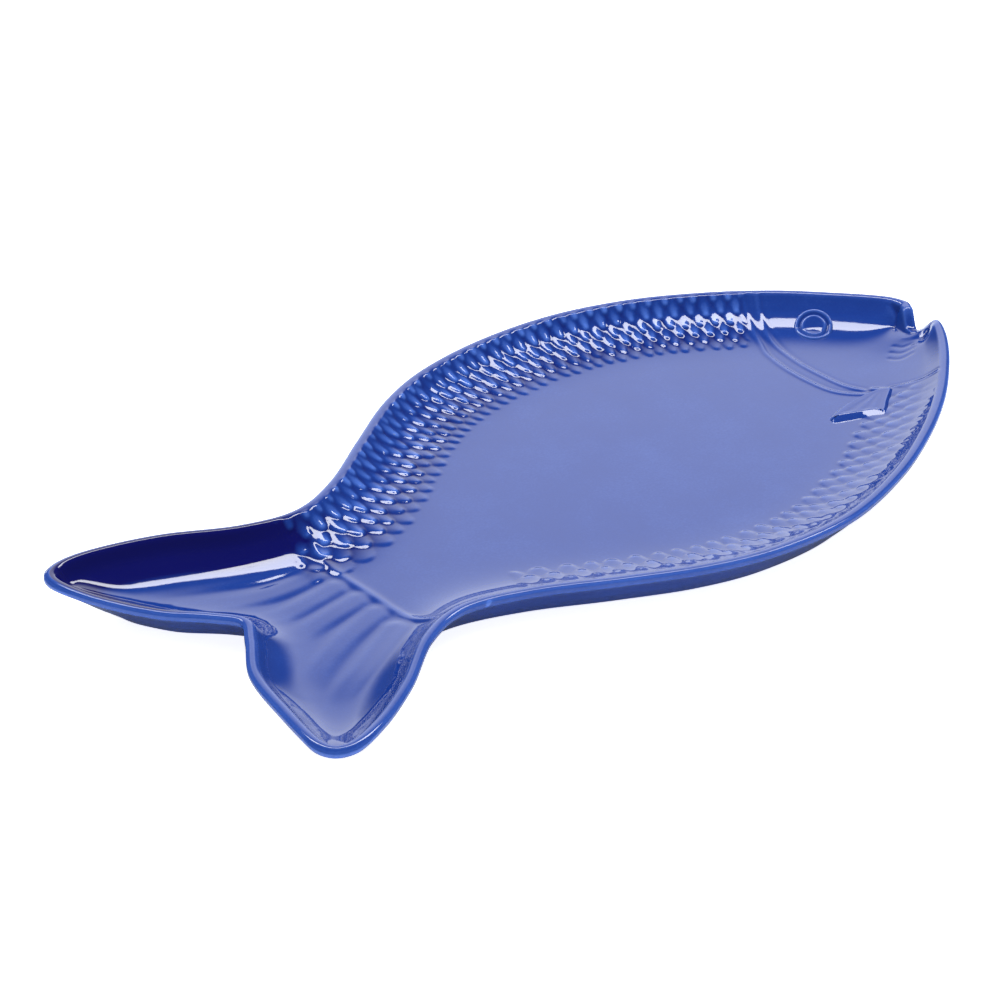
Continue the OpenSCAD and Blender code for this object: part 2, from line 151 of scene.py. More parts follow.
@dataclass(frozen=True)
class PlateSize:
    """Named sizes of the casting, in mm.

    Args:
        half_length: half the length of the lip's middle line.
        half_width: half its width.
        rim: height of the lip.
        floor: height of the well floor.
        foot: height of the standing rings.
        lip_half: half the lip's thickness.
        floor_inset: where the sloping side runs out in the floor, in from the lip's
            middle line.
        tail_floor_inset: the same for the tail.
        base_inset: where the body's base edge is, in from the lip's middle line.
        tail_base_inset: the same for the tail.
        tail_start: where the tail's sizes start to take over, along the fish.
        tail_end: where they have taken over.
        lean_window: stretch of lip over which the walls' direction is averaged.
        sharpest_bend: chord over arc where the walls reach furthest in, at the sharp corners.
        tip_draw: how much further in the base edge is drawn at the tail's tips, as a share.
        tip_bulges: bulge of the lip from which that draw starts, and where it is full.
        wall_power: steepness of the inner wall near the lip.
        jaw_power: steepness of the inner wall at the jaw's blunt end.
        jaw_reach: how far from the mouth's corner the side walls run on by themselves,
            without the jaw's blunt end.
        crown_power: how square the top of the lip is on its inner side.
        dip: how far the lip dips at the mouth.
        dip_radius: radius of that dip.
        dip_spread: how fast that radius grows down the inner wall.
        hollow_depth: depth of the soft hollow in the tail's lobe on the belly side.
        hollow_radius: radius of that hollow.
        hollow_from: distances from the lip where the hollow starts and where it is full.
        painted_shade_back: where the painted shade in the tail starts and where it is full, across
            the fish, as shares of half its width.
        painted_shade_wall: where that painted shade starts to fade and where it ends, down the tail's
            wall, as shares of the tail's inset.
    """

    half_length: float = 222.5
    half_width: float = 111.0
    rim: float = 21.0
    floor: float = 8.0
    foot: float = 1.6
    lip_half: float = 2.9
    floor_inset: float = 55.0
    tail_floor_inset: float = 32.0
    base_inset: float = 12.6
    tail_base_inset: float = 14.0
    tail_start: float = -100.0
    tail_end: float = -150.0
    lean_window: float = 36.0
    sharpest_bend: float = 0.85
    tip_draw: float = 0.45
    tip_bulges: tuple[float, float] = (0.30, 0.60)
    wall_power: float = 4.0
    jaw_power: float = 13.0
    jaw_reach: float = 60.0
    crown_power: float = 2.5
    dip: float = 7.0
    dip_radius: float = 11.5
    dip_spread: float = 1.2
    hollow_depth: float = 1.3
    hollow_radius: float = 23.0
    hollow_from: tuple[float, float] = (5.0, 20.0)
    painted_shade_back: tuple[float, float] = (0.15, 0.4)
    painted_shade_wall: tuple[float, float] = (0.3, 0.6)

    @property
    def half(self) -> np.ndarray:
        """Half length and half width, which the tables of shares follow."""
        return np.array((self.half_length, self.half_width))

    def in_tail(self, points: np.ndarray) -> np.ndarray:
        """How far each plan point is in the tail, from 0 to 1."""
        return smooth_step(-points[:, 0], -self.tail_start, -self.tail_end)

    def _by_place(self, points: np.ndarray, body: float, tail: float) -> np.ndarray:
        """A size that changes from the body's to the tail's along the fish."""
        return body + (tail - body) * self.in_tail(points)

    def floor_insets(self, points: np.ndarray) -> np.ndarray:
        """Where the sloping side runs out at each plan point."""
        return self._by_place(points, self.floor_inset, self.tail_floor_inset)

    def base_insets(self, points: np.ndarray) -> np.ndarray:
        """How far in the base edge lies at each plan point."""
        return self._by_place(points, self.base_inset, self.tail_base_inset)


@dataclass(frozen=True)
class ReliefSize:
    """Named sizes of the lines raised from the casting or pressed into it, in mm.

    Args:
        cord_width: half width of a gill cord.
        cord_height: height of a gill cord.
        band_width: half width of the tail band.
        band_height: height of the tail band.
        ray_width: half width of a tail ray.
        ray_height: height of a tail ray.
        wrinkle_width: half width of a mouth wrinkle.
        wrinkle_depth: depth of a mouth wrinkle.
        lip_strip: width of the plain strip beside the lip, which has no relief.
        groove: depth of the groove beside a cord, as a share of the cord's height.
        cord_from: distances from the lip where a cord starts and where it is full.
        ray_from: the same for a ray.
        band_from: the same for the band.
        ray_fade: where a ray starts to fade and where it is low, as shares of its length.
        ray_low: how high its low end is, as a share of its height.
        ray_square: how square a ray is across, where 2 is a plain bell.
        band_sharp: how much sharper than a plain bell the band is across.
        cord_cut: where a cord's piece is cut out of the skin, in half widths of it.
        band_cut: the same for the band.
        wrinkle_cut: the same for a wrinkle.
    """

    cord_width: float = 1.25
    cord_height: float = 0.34
    band_width: float = 2.4
    band_height: float = 0.7
    ray_width: float = 5.8
    ray_height: float = 0.60
    wrinkle_width: float = 1.1
    wrinkle_depth: float = 0.22
    lip_strip: float = 3.2
    groove: float = 0.35
    cord_from: tuple[float, float] = (0.6, 3.0)
    ray_from: tuple[float, float] = (5.0, 16.0)
    band_from: tuple[float, float] = (4.0, 12.0)
    ray_fade: tuple[float, float] = (0.2, 0.95)
    ray_low: float = 0.15
    ray_square: int = 4
    band_sharp: float = 1.2
    cord_cut: float = 1.5
    band_cut: float = 1.3
    wrinkle_cut: float = 1.8


@dataclass(frozen=True)
class ScaleField:
    """One field of overlapping scales on the wall.

    Args:
        part: the part that the field stands for.
        span: control points of the lip between which the scales lie.
        pitch: distance between scales along the lip, in mm.
        rows: distance from the lip, down the wall, of each row's tips, in mm.
        fades: how strong each of the rows is.
        height: how far a scale stands up, in mm.
        petal: visible length of one scale, in mm.
        pool_and_painted_sheen: how much the glaze pools between the scales and thins over them,
        with a painted sheen that makes their domes paler.
        seed: number that fixes the small differences between the scales.
        uneven: spread of those differences in place (as a share of the pitch), in length
            (in mm) and in height (as a share).
        width: half width of a scale at its widest, as a share of half the pitch.
        taper: how far back from the tip it is widest, as a share of the petal.
        taper_power: how blunt the tip is; smaller is blunter.
        dome_power: how domed a scale is across; smaller is squarer.
        tip_run: length of the slope at the tip, as a share of the petal.
        tip_lift: height at the tip, as a share.
        back_drop: how much lower the scale's back is, as a share.
        covered: length of the whole scale over that of the petal that is seen.
        blend: how sharp the grooves between the scales are.
        end_run: how far outside and inside its span's ends the field fades, in mm.
        lip_run: distances from the lip where it starts and where it is full, in mm.
    """

    part: Part
    span: tuple[float, float]
    pitch: float
    rows: tuple[float, ...]
    fades: tuple[float, ...]
    height: float
    petal: float
    pool_and_painted_sheen: float
    seed: int
    uneven: tuple[float, float, float] = (0.055, 0.35, 0.10)
    width: float = 1.06
    taper: float = 0.52
    taper_power: float = 0.55
    dome_power: float = 0.9
    tip_run: float = 0.20
    tip_lift: float = 1.05
    back_drop: float = 0.75
    covered: float = 1.3
    blend: int = 5
    end_run: tuple[float, float] = (1.0, 3.0)
    lip_run: tuple[float, float] = (1.0, 3.4)


SCALE_FIELDS = (
    ScaleField(Part.BACK, BACK_SPAN, pitch=7.9, rows=(6.5, 12.5, 18.5, 24.5, 30.5, 36.5),
               fades=(1.0, 1.05, 1.0, 0.95, 0.65, 0.35), height=1.12, petal=11.5, pool_and_painted_sheen=1.0, seed=3),
    ScaleField(Part.BELLY, BELLY_SPAN, pitch=10.4, rows=(10.5, 16.5, 22.5, 28.5, 34.5),
               fades=(0.45, 0.75, 0.9, 0.9, 0.7), height=0.80, petal=12.0, pool_and_painted_sheen=0.2, seed=5),
)


def spline(rows: np.ndarray, u: np.ndarray, closed: bool) -> np.ndarray:
    """Points of a smooth curve through rows.

    Args:
        rows: control points, one a row.
        u: places along the curve, counted in control points.
        closed: whether the last point joins the first.

    Returns:
        One point for each place.
    """
    count = len(rows)
    i = np.floor(u).astype(int)
    if not closed:
        i = np.minimum(i, count - 2)
    t = (u - i)[:, None]

    def pick(k: np.ndarray) -> np.ndarray:
        """The control points with the indexes k."""
        return rows[k % count] if closed else rows[np.clip(k, 0, count - 1)]

    a, b, c, d = pick(i - 1), pick(i), pick(i + 1), pick(i + 2)
    return (b + (c - a) * t / 2 + (2 * a - 5 * b + 4 * c - d) * t**2 / 2
            + (3 * b - a - 3 * c + d) * t**3 / 2)


def unit(v: np.ndarray) -> np.ndarray:
    """v with each row made one long."""
    return v / np.maximum(np.linalg.norm(v, axis=-1, keepdims=True), TINY)


def left_of(v: np.ndarray) -> np.ndarray:
    """The direction a quarter turn to the left of each row of v."""
    v = unit(v)
    return np.stack([-v[:, 1], v[:, 0]], axis=1)


def smooth_step(x: np.ndarray, low: float, high: float) -> np.ndarray:
    """0 below low, 1 above high, and a soft ramp between."""
    t = np.clip((x - low) / (high - low), 0, 1)
    return t * t * (3 - 2 * t)


def path_distance(points: np.ndarray, path: np.ndarray) -> tuple[np.ndarray, np.ndarray, np.ndarray]:
    """Distance of points from a path.

    Args:
        points: plan points, one a row.
        path: the path's points in order.

    Returns:
        Distance, place along the path from 0 to 1, and side (positive to the left).
    """
    best = np.full(len(points), np.inf)
    place = np.zeros(len(points))
    side = np.zeros(len(points))
    for k in range(len(path) - 1):
        v = path[k + 1] - path[k]
        w = points - path[k]
        t = np.clip(w @ v / (v @ v), 0, 1)
        d = np.linalg.norm(w - t[:, None] * v, axis=1)
        near = d < best
        best[near] = d[near]
        place[near] = (k + t[near]) / (len(path) - 1)
        side[near] = np.sign(v[0] * w[near, 1] - v[1] * w[near, 0])
    return best, place, side


def bell(x: np.ndarray, width: float, power: int = 2) -> np.ndarray:
    """1 where x is 0, falling off over width on both sides."""
    return np.exp(-(x / width) ** power)


def plan_tree(points: np.ndarray) -> kdtree.KDTree:
    """A search tree over plan points."""
    tree = kdtree.KDTree(len(points))
    for i, (x, y) in enumerate(points):
        tree.insert((x, y, 0), i)
    tree.balance()
    return tree


def gaps_to(tree: kdtree.KDTree, points: np.ndarray) -> np.ndarray:
    """Distance from each plan point to the nearest point of a tree."""
    return np.array([tree.find((x, y, 0))[2] for x, y in points])


def ring_strips(rings: int, count: int) -> np.ndarray:
    """Triangles of the strips that join closed rings of points to the next ones.

    Args:
        rings: how many rings there are.
        count: points in each ring.

    Returns:
        Triangles, strip after strip, over the rings' points in their order.
    """
    here = np.arange(count)
    ahead = (here + 1) % count
    strips = []
    for row in range(rings - 1):
        a, b = row * count, (row + 1) * count
        strips.append(np.stack([a + here, a + ahead, b + ahead], axis=1))
        strips.append(np.stack([a + here, b + ahead, b + here], axis=1))
    return np.concatenate(strips)


@dataclass
class LipLine:
    """The lip's middle line, sampled evenly, with the directions in from it.

    Args:
        size: sizes of the casting.
        samples: points along the line.
        fine_samples: points along the line from which those are worked out.
        tangent_reach: how far ahead and behind the line's direction is taken, in mm.
    """

    size: PlateSize
    samples: int = 1500
    fine_samples: int = 12001
    tangent_reach: float = 1.5
    points: np.ndarray = field(init=False)
    normals: np.ndarray = field(init=False)
    leans: np.ndarray = field(init=False)
    bulges: np.ndarray = field(init=False)
    fine: np.ndarray = field(init=False)
    fine_u: np.ndarray = field(init=False)
    arcs: np.ndarray = field(init=False)
    perimeter: float = field(init=False)

    def __post_init__(self) -> None:
        """Samples the line and its directions."""
        controls = np.array(OUTLINE_SHARES) * self.size.half
        self.fine_u = np.linspace(0, len(controls), self.fine_samples)
        self.fine = spline(controls, self.fine_u, closed=True)
        steps = np.linalg.norm(np.diff(self.fine, axis=0), axis=1)
        self.arcs = np.concatenate([[0], np.cumsum(steps)])
        self.perimeter = float(self.arcs[-1])
        s = np.arange(self.samples) * self.perimeter / self.samples
        self.points = self.at(s)
        self.normals = left_of(self.chord(s, self.tangent_reach))
        window = self.size.lean_window
        chord = self.chord(s, window)
        bend = np.linalg.norm(chord, axis=1, keepdims=True) / (2 * window)
        self.leans = left_of(chord) / np.maximum(bend, self.size.sharpest_bend)
        middle = (self.at(s + window) + self.at(s - window)) / 2
        self.bulges = ((middle - self.points) * self.normals).sum(axis=1) / window

    def at(self, s: np.ndarray) -> np.ndarray:
        """Points at arc lengths s."""
        s = np.mod(s, self.perimeter)
        return np.stack([np.interp(s, self.arcs, self.fine[:, k]) for k in (0, 1)], axis=1)

    def chord(self, s: np.ndarray, reach: float) -> np.ndarray:
        """Chords of the line from reach behind to reach ahead of arc lengths s."""
        return self.at(s + reach) - self.at(s - reach)

    def arc_of(self, u: float) -> float:
        """Arc length at a place counted in control points."""
        return float(np.interp(u, self.fine_u, self.arcs))

    def ring(self, run: float | np.ndarray) -> np.ndarray:
        """Plan points of the ring that lies run mm inside the lip's middle line."""
        half = self.size.lip_half
        run = np.broadcast_to(run, self.samples)[:, None]
        return (self.points + self.normals * np.clip(run, -half, half)
                + self.leans * np.maximum(run - half, 0))

    def nearest(self, points: np.ndarray) -> tuple[np.ndarray, np.ndarray]:
        """Arc length of, and distance to, the nearest point of the line.

        Args:
            points: plan points, one a row.

        Returns:
            Arc lengths and distances.
        """
        tree = plan_tree(self.points)
        index = np.array([tree.find((x, y, 0))[1] for x, y in points])
        step = self.perimeter / self.samples
        tangent = np.stack([self.normals[index, 1], -self.normals[index, 0]], axis=1)
        offset = points - self.points[index]
        along = np.einsum("ij,ij->i", offset, tangent)
        along = np.clip(along, -step / 2, step / 2)
        gap = offset - tangent * along[:, None]
        return index * step + along, np.linalg.norm(gap, axis=1)


@dataclass
class Ground:
    """Height of the glazed inner surface over the plan, with all its relief.

    Args:
        size: sizes of the casting.
        relief: sizes of its lines.
        lip: the lip's middle line.
    """

    size: PlateSize
    relief: ReliefSize
    lip: LipLine
    corner: np.ndarray = field(init=False)
    hollow: np.ndarray = field(init=False)
    sides: kdtree.KDTree = field(init=False)

    def __post_init__(self) -> None:
        """Places the mouth's corner and the hollow, and finds the lip beside the jaw."""
        self.corner = np.array(MOUTH_CORNER_SHARE) * self.size.half
        self.hollow = np.array(TAIL_HOLLOW_SHARE) * self.size.half
        last, first = JAW_SPAN
        lip = self.lip
        kept = (lip.fine_u > first) & (lip.fine_u < last)
        kept &= np.linalg.norm(lip.fine - self.corner, axis=1) < 2 * self.size.jaw_reach
        self.sides = plan_tree(lip.fine[kept])

    def _distances(self, points: np.ndarray, *tables: tuple) -> list[tuple]:
        """What path_distance says of points for the smooth path through each table."""
        out = []
        for rows in tables:
            u = np.linspace(0, len(rows) - 1, CURVE_STEPS * len(rows))
            path = spline(np.array(rows) * self.size.half, u, closed=False)
            out.append(path_distance(points, path))
        return out

    def rim_at(self, points: np.ndarray, run: float | np.ndarray = 0.0) -> np.ndarray:
        """Height of the lip beside each plan point, whose inner wall has gone run mm."""
        radius = self.size.dip_radius + self.size.dip_spread * run
        u = np.minimum(np.linalg.norm(points - self.corner, axis=1) / radius, 1)
        return self.size.rim - self.size.dip * (1 - u * u) ** 2

    def plain(self, points: np.ndarray, d: np.ndarray) -> np.ndarray:
        """Height of the surface without its relief.

        Args:
            points: plan points, one a row.
            d: distances in from the lip.

        Returns:
            Heights in mm.
        """
        s = self.size
        rim = self.rim_at(points, np.maximum(d - s.lip_half, 0))
        reach = s.floor_insets(points) - s.lip_half
        lean = s.wall_power * s.lip_half / (reach * s.crown_power)
        shoulder = lean * (rim - s.floor) / (1 + lean)
        jaw = (1 - np.clip((d - s.lip_half) / reach, 0, 1)) ** s.jaw_power
        side_run = (self._side_distance(points, d) - s.lip_half) / reach
        side = (1 - np.clip(side_run, 0, 1)) ** s.wall_power
        wall = s.floor + (rim - shoulder - s.floor) * np.maximum(side, jaw)
        crown = rim - shoulder * (np.clip(d, 0, s.lip_half) / s.lip_half) ** s.crown_power
        from_hollow = np.linalg.norm(points - self.hollow, axis=1) / s.hollow_radius
        wall = wall - s.hollow_depth * np.exp(-from_hollow ** 2) * smooth_step(d, *s.hollow_from)
        return np.where(d < s.lip_half, crown, wall)

    def _side_distance(self, points: np.ndarray, d: np.ndarray) -> np.ndarray:
        """Distances in from the lip without the jaw's blunt end."""
        near = np.linalg.norm(points - self.corner, axis=1) < self.size.jaw_reach
        out = d.copy()
        out[near] = np.maximum(d[near], gaps_to(self.sides, points[near]))
        return out

    def scales(self, s: np.ndarray, d: np.ndarray,
               scale_field: ScaleField) -> tuple[np.ndarray, np.ndarray]:
        """Height of one field of overlapping scales.

        Each scale is a petal whose tip points down the wall. The petals of all rows are
        joined by a soft maximum, so that the glaze rounds the grooves between them.

        Args:
            s: arc lengths along the lip.
            d: distances in from the lip.
            scale_field: the field.

        Returns:
            Height as a share of a full scale's, and how much of the field is here.
        """
        f = scale_field
        first, last = (self.lip.arc_of(u) for u in f.span)
        count = int((last - first) / f.pitch) + 3
        rng = np.random.default_rng(f.seed)
        total = np.zeros_like(s)
        for row, (tip, fade) in enumerate(zip(f.rows, f.fades)):
            shift, reach, swell = rng.normal(0, f.uneven, (count, 3)).T
            phase = (s - first) / f.pitch + (row % 2) / 2 + 0.5
            cell = np.clip(np.floor(phase).astype(int), 0, count - 1)
            across = (phase - np.floor(phase) - 0.5 - shift[cell]) * 2
            back = (tip + reach[cell] - d) / f.petal
            width = f.width * np.clip(back / f.taper, 0, 1) ** f.taper_power
            dome = np.clip(1 - (across / np.maximum(width, TINY)) ** 2, 0, 1) ** f.dome_power
            lift = smooth_step(back, 0.0, f.tip_run) * (f.tip_lift - f.back_drop * np.clip(back, 0, 1))
            petal = np.where(back < f.covered, dome * lift, 0) * fade * (1 + swell[cell])
            total += petal ** f.blend
        beyond, within = f.end_run
        inside = smooth_step(s, first - beyond, first + within)
        inside = inside * (1 - smooth_step(s, last - within, last + beyond))
        inside = inside * smooth_step(d, *f.lip_run)
        below = 1 - smooth_step(d, f.rows[-3], f.rows[-1])
        return total ** (1 / f.blend) * inside, inside * below

    def raised(self, points: np.ndarray, s: np.ndarray,
               d: np.ndarray) -> tuple[np.ndarray, np.ndarray, np.ndarray]:
        """Height of the relief over plan points, with the part and glaze of each.

        Args:
            points: plan points, one a row, in mm.
            s: arc lengths along the lip.
            d: distances in from the lip.

        Returns:
            Heights in mm over the plain surface, indexes into the list of parts, and how
            far the glaze has pooled (negative where it has thinned), with painted shade on the
            tail's back wall and a painted sheen on the scales' domes.
        """
        r = self.relief
        z = np.zeros(len(points))
        label = np.zeros(len(points), dtype=int)
        # Starts with the painted shade on the tail's back wall.
        pool_and_painted_light = self._tail_painted_shade(points, d)
        parts = list(Part)
        inner = d > r.lip_strip
        for scale_field in SCALE_FIELDS:
            petals, field_share = self.scales(s, d, scale_field)
            z += petals * scale_field.height
            # Glaze pooling between the scales, and a painted sheen: their domes are painted paler.
            pool_and_painted_light += (0.5 - petals) * field_share * scale_field.pool_and_painted_sheen
            first, last = (self.lip.arc_of(u) for u in scale_field.span)
            here = (s > first) & (s < last) & inner & (d < scale_field.rows[-1] + r.lip_strip)
            label[here] = parts.index(scale_field.part)
        gills = self._distances(points, GILL_REAR_SHARES, GILL_FRONT_SHARES, GILL_BELLY_SHARES)
        for dist, _, side in gills:
            cord = bell(dist, r.cord_width)
            groove = bell(dist * side - r.cord_width * 2, r.cord_width)
            z += (cord - groove * r.groove) * r.cord_height * smooth_step(d, *r.cord_from)
            label[(dist < r.cord_width * r.cord_cut) & inner] = parts.index(Part.GILLS)
        for dist, place, _ in self._distances(points, *RAY_SHARES):
            fade = 1 - smooth_step(place, *r.ray_fade)
            bump = bell(dist, r.ray_width, r.ray_square) * (r.ray_low + (1 - r.ray_low) * fade)
            z += bump * r.ray_height * smooth_step(d, *r.ray_from)
            label[(dist < r.ray_width) & inner] = parts.index(Part.RAYS)
        for dist, _, _ in self._distances(points, BAND_SHARES):
            bump = bell(dist, r.band_width) ** r.band_sharp
            z += bump * r.band_height * smooth_step(d, *r.band_from)
            label[(dist < r.band_width * r.band_cut) & inner] = parts.index(Part.BAND)
        for dist, _, _ in self._distances(points, *WRINKLE_SHARES):
            z -= bell(dist, r.wrinkle_width) * r.wrinkle_depth
            label[dist < r.wrinkle_width * r.wrinkle_cut] = parts.index(Part.MOUTH)
        return z, label, pool_and_painted_light

    def _tail_painted_shade(self, points: np.ndarray, d: np.ndarray) -> np.ndarray:
        """Painted shade on the tail's wall on the back: how much darker its glaze is painted."""
        s = self.size
        # Painted shade: the tail's back wall is painted darker, fading out down the wall.
        back = smooth_step(points[:, 1] / s.half_width, *s.painted_shade_back)
        return s.in_tail(points) * back * (1 - smooth_step(d / s.tail_floor_inset, *s.painted_shade_wall))

    def height(self, points: np.ndarray) -> np.ndarray:
        """Height of the surface with its relief, in mm."""
        s, d = self.lip.nearest(points)
        return self.plain(points, d) + self.raised(points, s, d)[0]


@dataclass
class Surface:
    """One dense surface, or a piece of it.

    Args:
        verts: points in mm, one a row.
        tris: triangles.
        normals: a normal for each point, or None for smooth ones.
        depth: how far the glaze has pooled at each point, with painted shade and a painted
        sheen, or None for evenly.
        labels: the index of each triangle's part, or OUTSIDE.
    """

    verts: np.ndarray
    tris: np.ndarray
    normals: np.ndarray | None = None
    depth: np.ndarray | None = None
    labels: np.ndarray | None = None

    def mesh(self, name: str, label: int | None = None) -> bpy.types.Object:
        """Makes a mesh object in the row frame.

        Args:
            name: the object's name.
            label: the label of the triangles that it takes, or None for all.

        Returns:
            The linked object.
        """
        tris = self.tris if label is None else self.tris[self.labels == label]
        used, flat = np.unique(tris, return_inverse=True)
        tris = flat.reshape(-1, 3)
        mesh = bpy.data.meshes.new(name)
        mesh.vertices.add(len(used))
        mesh.vertices.foreach_set("co", (self.verts[used] * MM).astype(np.float32).ravel())
        mesh.loops.add(tris.size)
        mesh.loops.foreach_set("vertex_index", tris.astype(np.int32).ravel())
        mesh.polygons.add(len(tris))
        mesh.polygons.foreach_set("loop_start", np.arange(0, tris.size, 3, dtype=np.int32))
        mesh.update(calc_edges=True)
        mesh.validate()
        mesh.shade_smooth()
        if self.normals is not None:
            mesh.normals_split_custom_set_from_vertices(self.normals[used].tolist())
        # Glaze pooling with painted shade and a painted sheen, which the glaze's colour reads.
        if self.depth is not None:
            layer = mesh.attributes.new("glaze_pool_and_painted_light", "FLOAT", "POINT")
            layer.data.foreach_set("value", self.depth[used].astype(np.float32))
        obj = bpy.data.objects.new(name, mesh)
        bpy.context.collection.objects.link(obj)
        return obj


@dataclass
class Skin:
    """One dense surface of the whole casting, with normals, before it is cut up.

    Args:
        size: sizes of the casting.
        lip: the lip's middle line.
        ground: the surface inside it.
        spacing: distance between the points of the well's net, in mm.
        base_spacing: the same for the flat base.
        wall_shares: rows of the outer wall from the base up, each with how far in it lies,
            as a share of the base edge's inset, and how high, as a share from the base to
            the lip's top.
        lip_shares: rows over the lip, each with how far in it lies and how far under the
            lip's top, both as shares of half the lip's thickness.
        crown_rows: rows from the lip's middle line to its inner side.
        inner_rows: first and last inset, in mm, and number of the rows after those.
        near_mouth: distances from the mouth's corner within which the glaze rounds more,
            and from which it doesn't.
        mouth_bonus: how much nearer to the lip it rounds there, in mm.
        tail_bonus: the same in the tail.
        round_from: distances from the lip where the glaze's rounding starts and where it
            is full, in mm.
        rounds: how often the height is smoothed.
        pull: how far a point moves towards its neighbours' mean each time.
        weight_range: least and greatest weight of a neighbour.
        merge: distance at which points of the net are one, in mm.
        net_gap: least distance of the net from its loop, as a share of its spacing.
    """

    size: PlateSize
    lip: LipLine
    ground: Ground
    spacing: float = 1.0
    base_spacing: float = 6.0
    wall_shares: tuple = (
        (1.35, 0.0), (1.04, 0.0), (1.00, 0.012), (0.97, 0.04), (0.88, 0.105), (0.75, 0.195),
        (0.60, 0.300), (0.44, 0.420), (0.28, 0.545), (0.12, 0.665), (-0.04, 0.770),
        (-0.14, 0.835), (-0.175, 0.885), (-0.165, 0.935),
    )
    lip_shares: tuple = ((-0.78, 0.36), (-0.60, 0.16), (-0.38, 0.05), (-0.18, 0.01))
    crown_rows: int = 7
    inner_rows: tuple[float, float, int] = (3.2, 7.4, 8)
    near_mouth: tuple[float, float] = (14.0, 30.0)
    mouth_bonus: float = 2.0
    tail_bonus: float = 4.5
    round_from: tuple[float, float] = (9.0, 17.0)
    rounds: int = 110
    pull: float = 0.7
    weight_range: tuple[float, float] = (0.01, 20)
    merge: float = 1e-5
    net_gap: float = 0.62

    def rings(self) -> tuple[list[np.ndarray], int]:
        """All rings as 3-D points, and the number of those outside the lip's middle."""
        s = self.size
        outside = []
        tips = 1 + s.tip_draw * smooth_step(self.lip.bulges, *s.tip_bulges)
        for inset, share in self.wall_shares:
            run = inset * s.base_insets(self.lip.points) * tips
            plan = self.lip.ring(np.maximum(run, -s.lip_half))
            rim = self.ground.rim_at(plan)
            outside.append(np.column_stack([plan, s.foot + (rim - s.foot) * share]))
        for share, drop in self.lip_shares:
            plan = self.lip.ring(share * s.lip_half)
            outside.append(np.column_stack([plan, self.ground.rim_at(plan) - drop * s.lip_half]))
        crown = np.linspace(0, s.lip_half, self.crown_rows)
        inside = [self.lip.ring(run) for run in (*crown, *np.linspace(*self.inner_rows))]
        return outside + [self._at_height(plan, 0) for plan in inside], len(outside)

    def build(self) -> Surface:
        """Works the surface out.

        Returns:
            The surface, with a label for each triangle.
        """
        rings, outer = self.rings()
        count = self.lip.samples
        first = outer * count
        verts = np.concatenate(rings)
        floor, floor_tris = self._fill(rings[-1][:, :2], len(verts) - count, len(verts), self.spacing)
        verts = np.concatenate([verts, self._at_height(floor, 0)])
        tris = np.concatenate([ring_strips(len(rings), count), floor_tris])
        inside = verts[first:, :2]
        s, d = self.lip.nearest(inside)
        plain = self._rounded(inside, tris[(tris >= first).all(axis=1)] - first, d)
        raised, label, pool_and_painted_light = self.ground.raised(inside, s, d)
        verts[first:, 2] = plain + raised
        base, base_tris = self._fill(rings[0][:, :2], 0, len(verts), self.base_spacing)
        verts = np.concatenate([verts, self._at_height(base, self.size.foot)])
        index = np.arange(len(tris) + len(base_tris))
        outside = (index < 2 * first) | (index >= len(tris))
        tris = np.concatenate([tris, base_tris[:, ::-1]])
        a, b, c = (verts[tris[:, k], :2] for k in range(3))
        u, v = b - a, c - a
        folded = ~outside & (u[:, 0] * v[:, 1] < u[:, 1] * v[:, 0])
        tris[folded] = tris[folded][:, ::-1]
        rest = np.zeros(len(base), dtype=int)
        labels = np.concatenate([np.zeros(first, dtype=int), label, rest])[tris].max(axis=1)
        # Glaze pooling with painted shade and a painted sheen; none on the outside and the base.
        depth = np.concatenate([np.zeros(first), pool_and_painted_light, rest])
        labels[outside] = OUTSIDE
        return Surface(verts, tris, self._normals(verts, tris), depth, labels)

    def _rounded(self, plan: np.ndarray, tris: np.ndarray, d: np.ndarray) -> np.ndarray:
        """The surface's height without relief, rounded away from the lip.

        Args:
            plan: plan points, one a row.
            tris: triangles over them.
            d: distances in from the lip.

        Returns:
            Heights in mm.
        """
        from_mouth = np.linalg.norm(plan - self.ground.corner, axis=1)
        near = 1 - smooth_step(from_mouth, *self.near_mouth)
        bonus = self.mouth_bonus * near + self.tail_bonus * self.size.in_tail(plan)
        share = smooth_step(d + bonus, *self.round_from)
        return self._smooth(plan, tris, self.ground.plain(plan, d), share)

    @staticmethod
    def _at_height(plan: np.ndarray, height: float) -> np.ndarray:
        """Plan points as 3-D points at one height."""
        return np.column_stack([plan, np.full(len(plan), height)])

    def _fill(self, loop: np.ndarray, base: int, start: int,
              step: float) -> tuple[np.ndarray, np.ndarray]:
        """Fills a closed loop with an even net of points.

        Args:
            loop: the loop's plan points.
            base: index of its first vertex.
            start: index that the new points start from.
            step: spacing of the net, in mm.

        Returns:
            New plan points, and triangles that use both.
        """
        low, high = loop.min(axis=0), loop.max(axis=0)
        rows = np.arange(low[1], high[1], step * math.sqrt(3) / 2)
        net = []
        for i, y in enumerate(rows):
            x = np.arange(low[0] + (i % 2) * step / 2, high[0], step)
            net.append(np.column_stack([x, np.full(len(x), y)]))
        net = np.concatenate(net)
        net = net[self._inside(net, loop)]
        net = net[gaps_to(plan_tree(loop), net) > step * self.net_gap]
        coords = [Vector(p) for p in np.concatenate([loop, net])]
        edges = [(i, (i + 1) % len(loop)) for i in range(len(loop))]
        out, _, tris, origin, _, _ = delaunay_2d_cdt(coords, edges, [], 1, self.merge)
        place = {}
        added = []
        for i, src in enumerate(origin):
            if src and src[0] < len(loop):
                place[i] = base + src[0]
            else:
                place[i] = start + len(added)
                added.append(tuple(out[i]))
        return np.array(added), np.array([[place[a] for a in t] for t in tris])

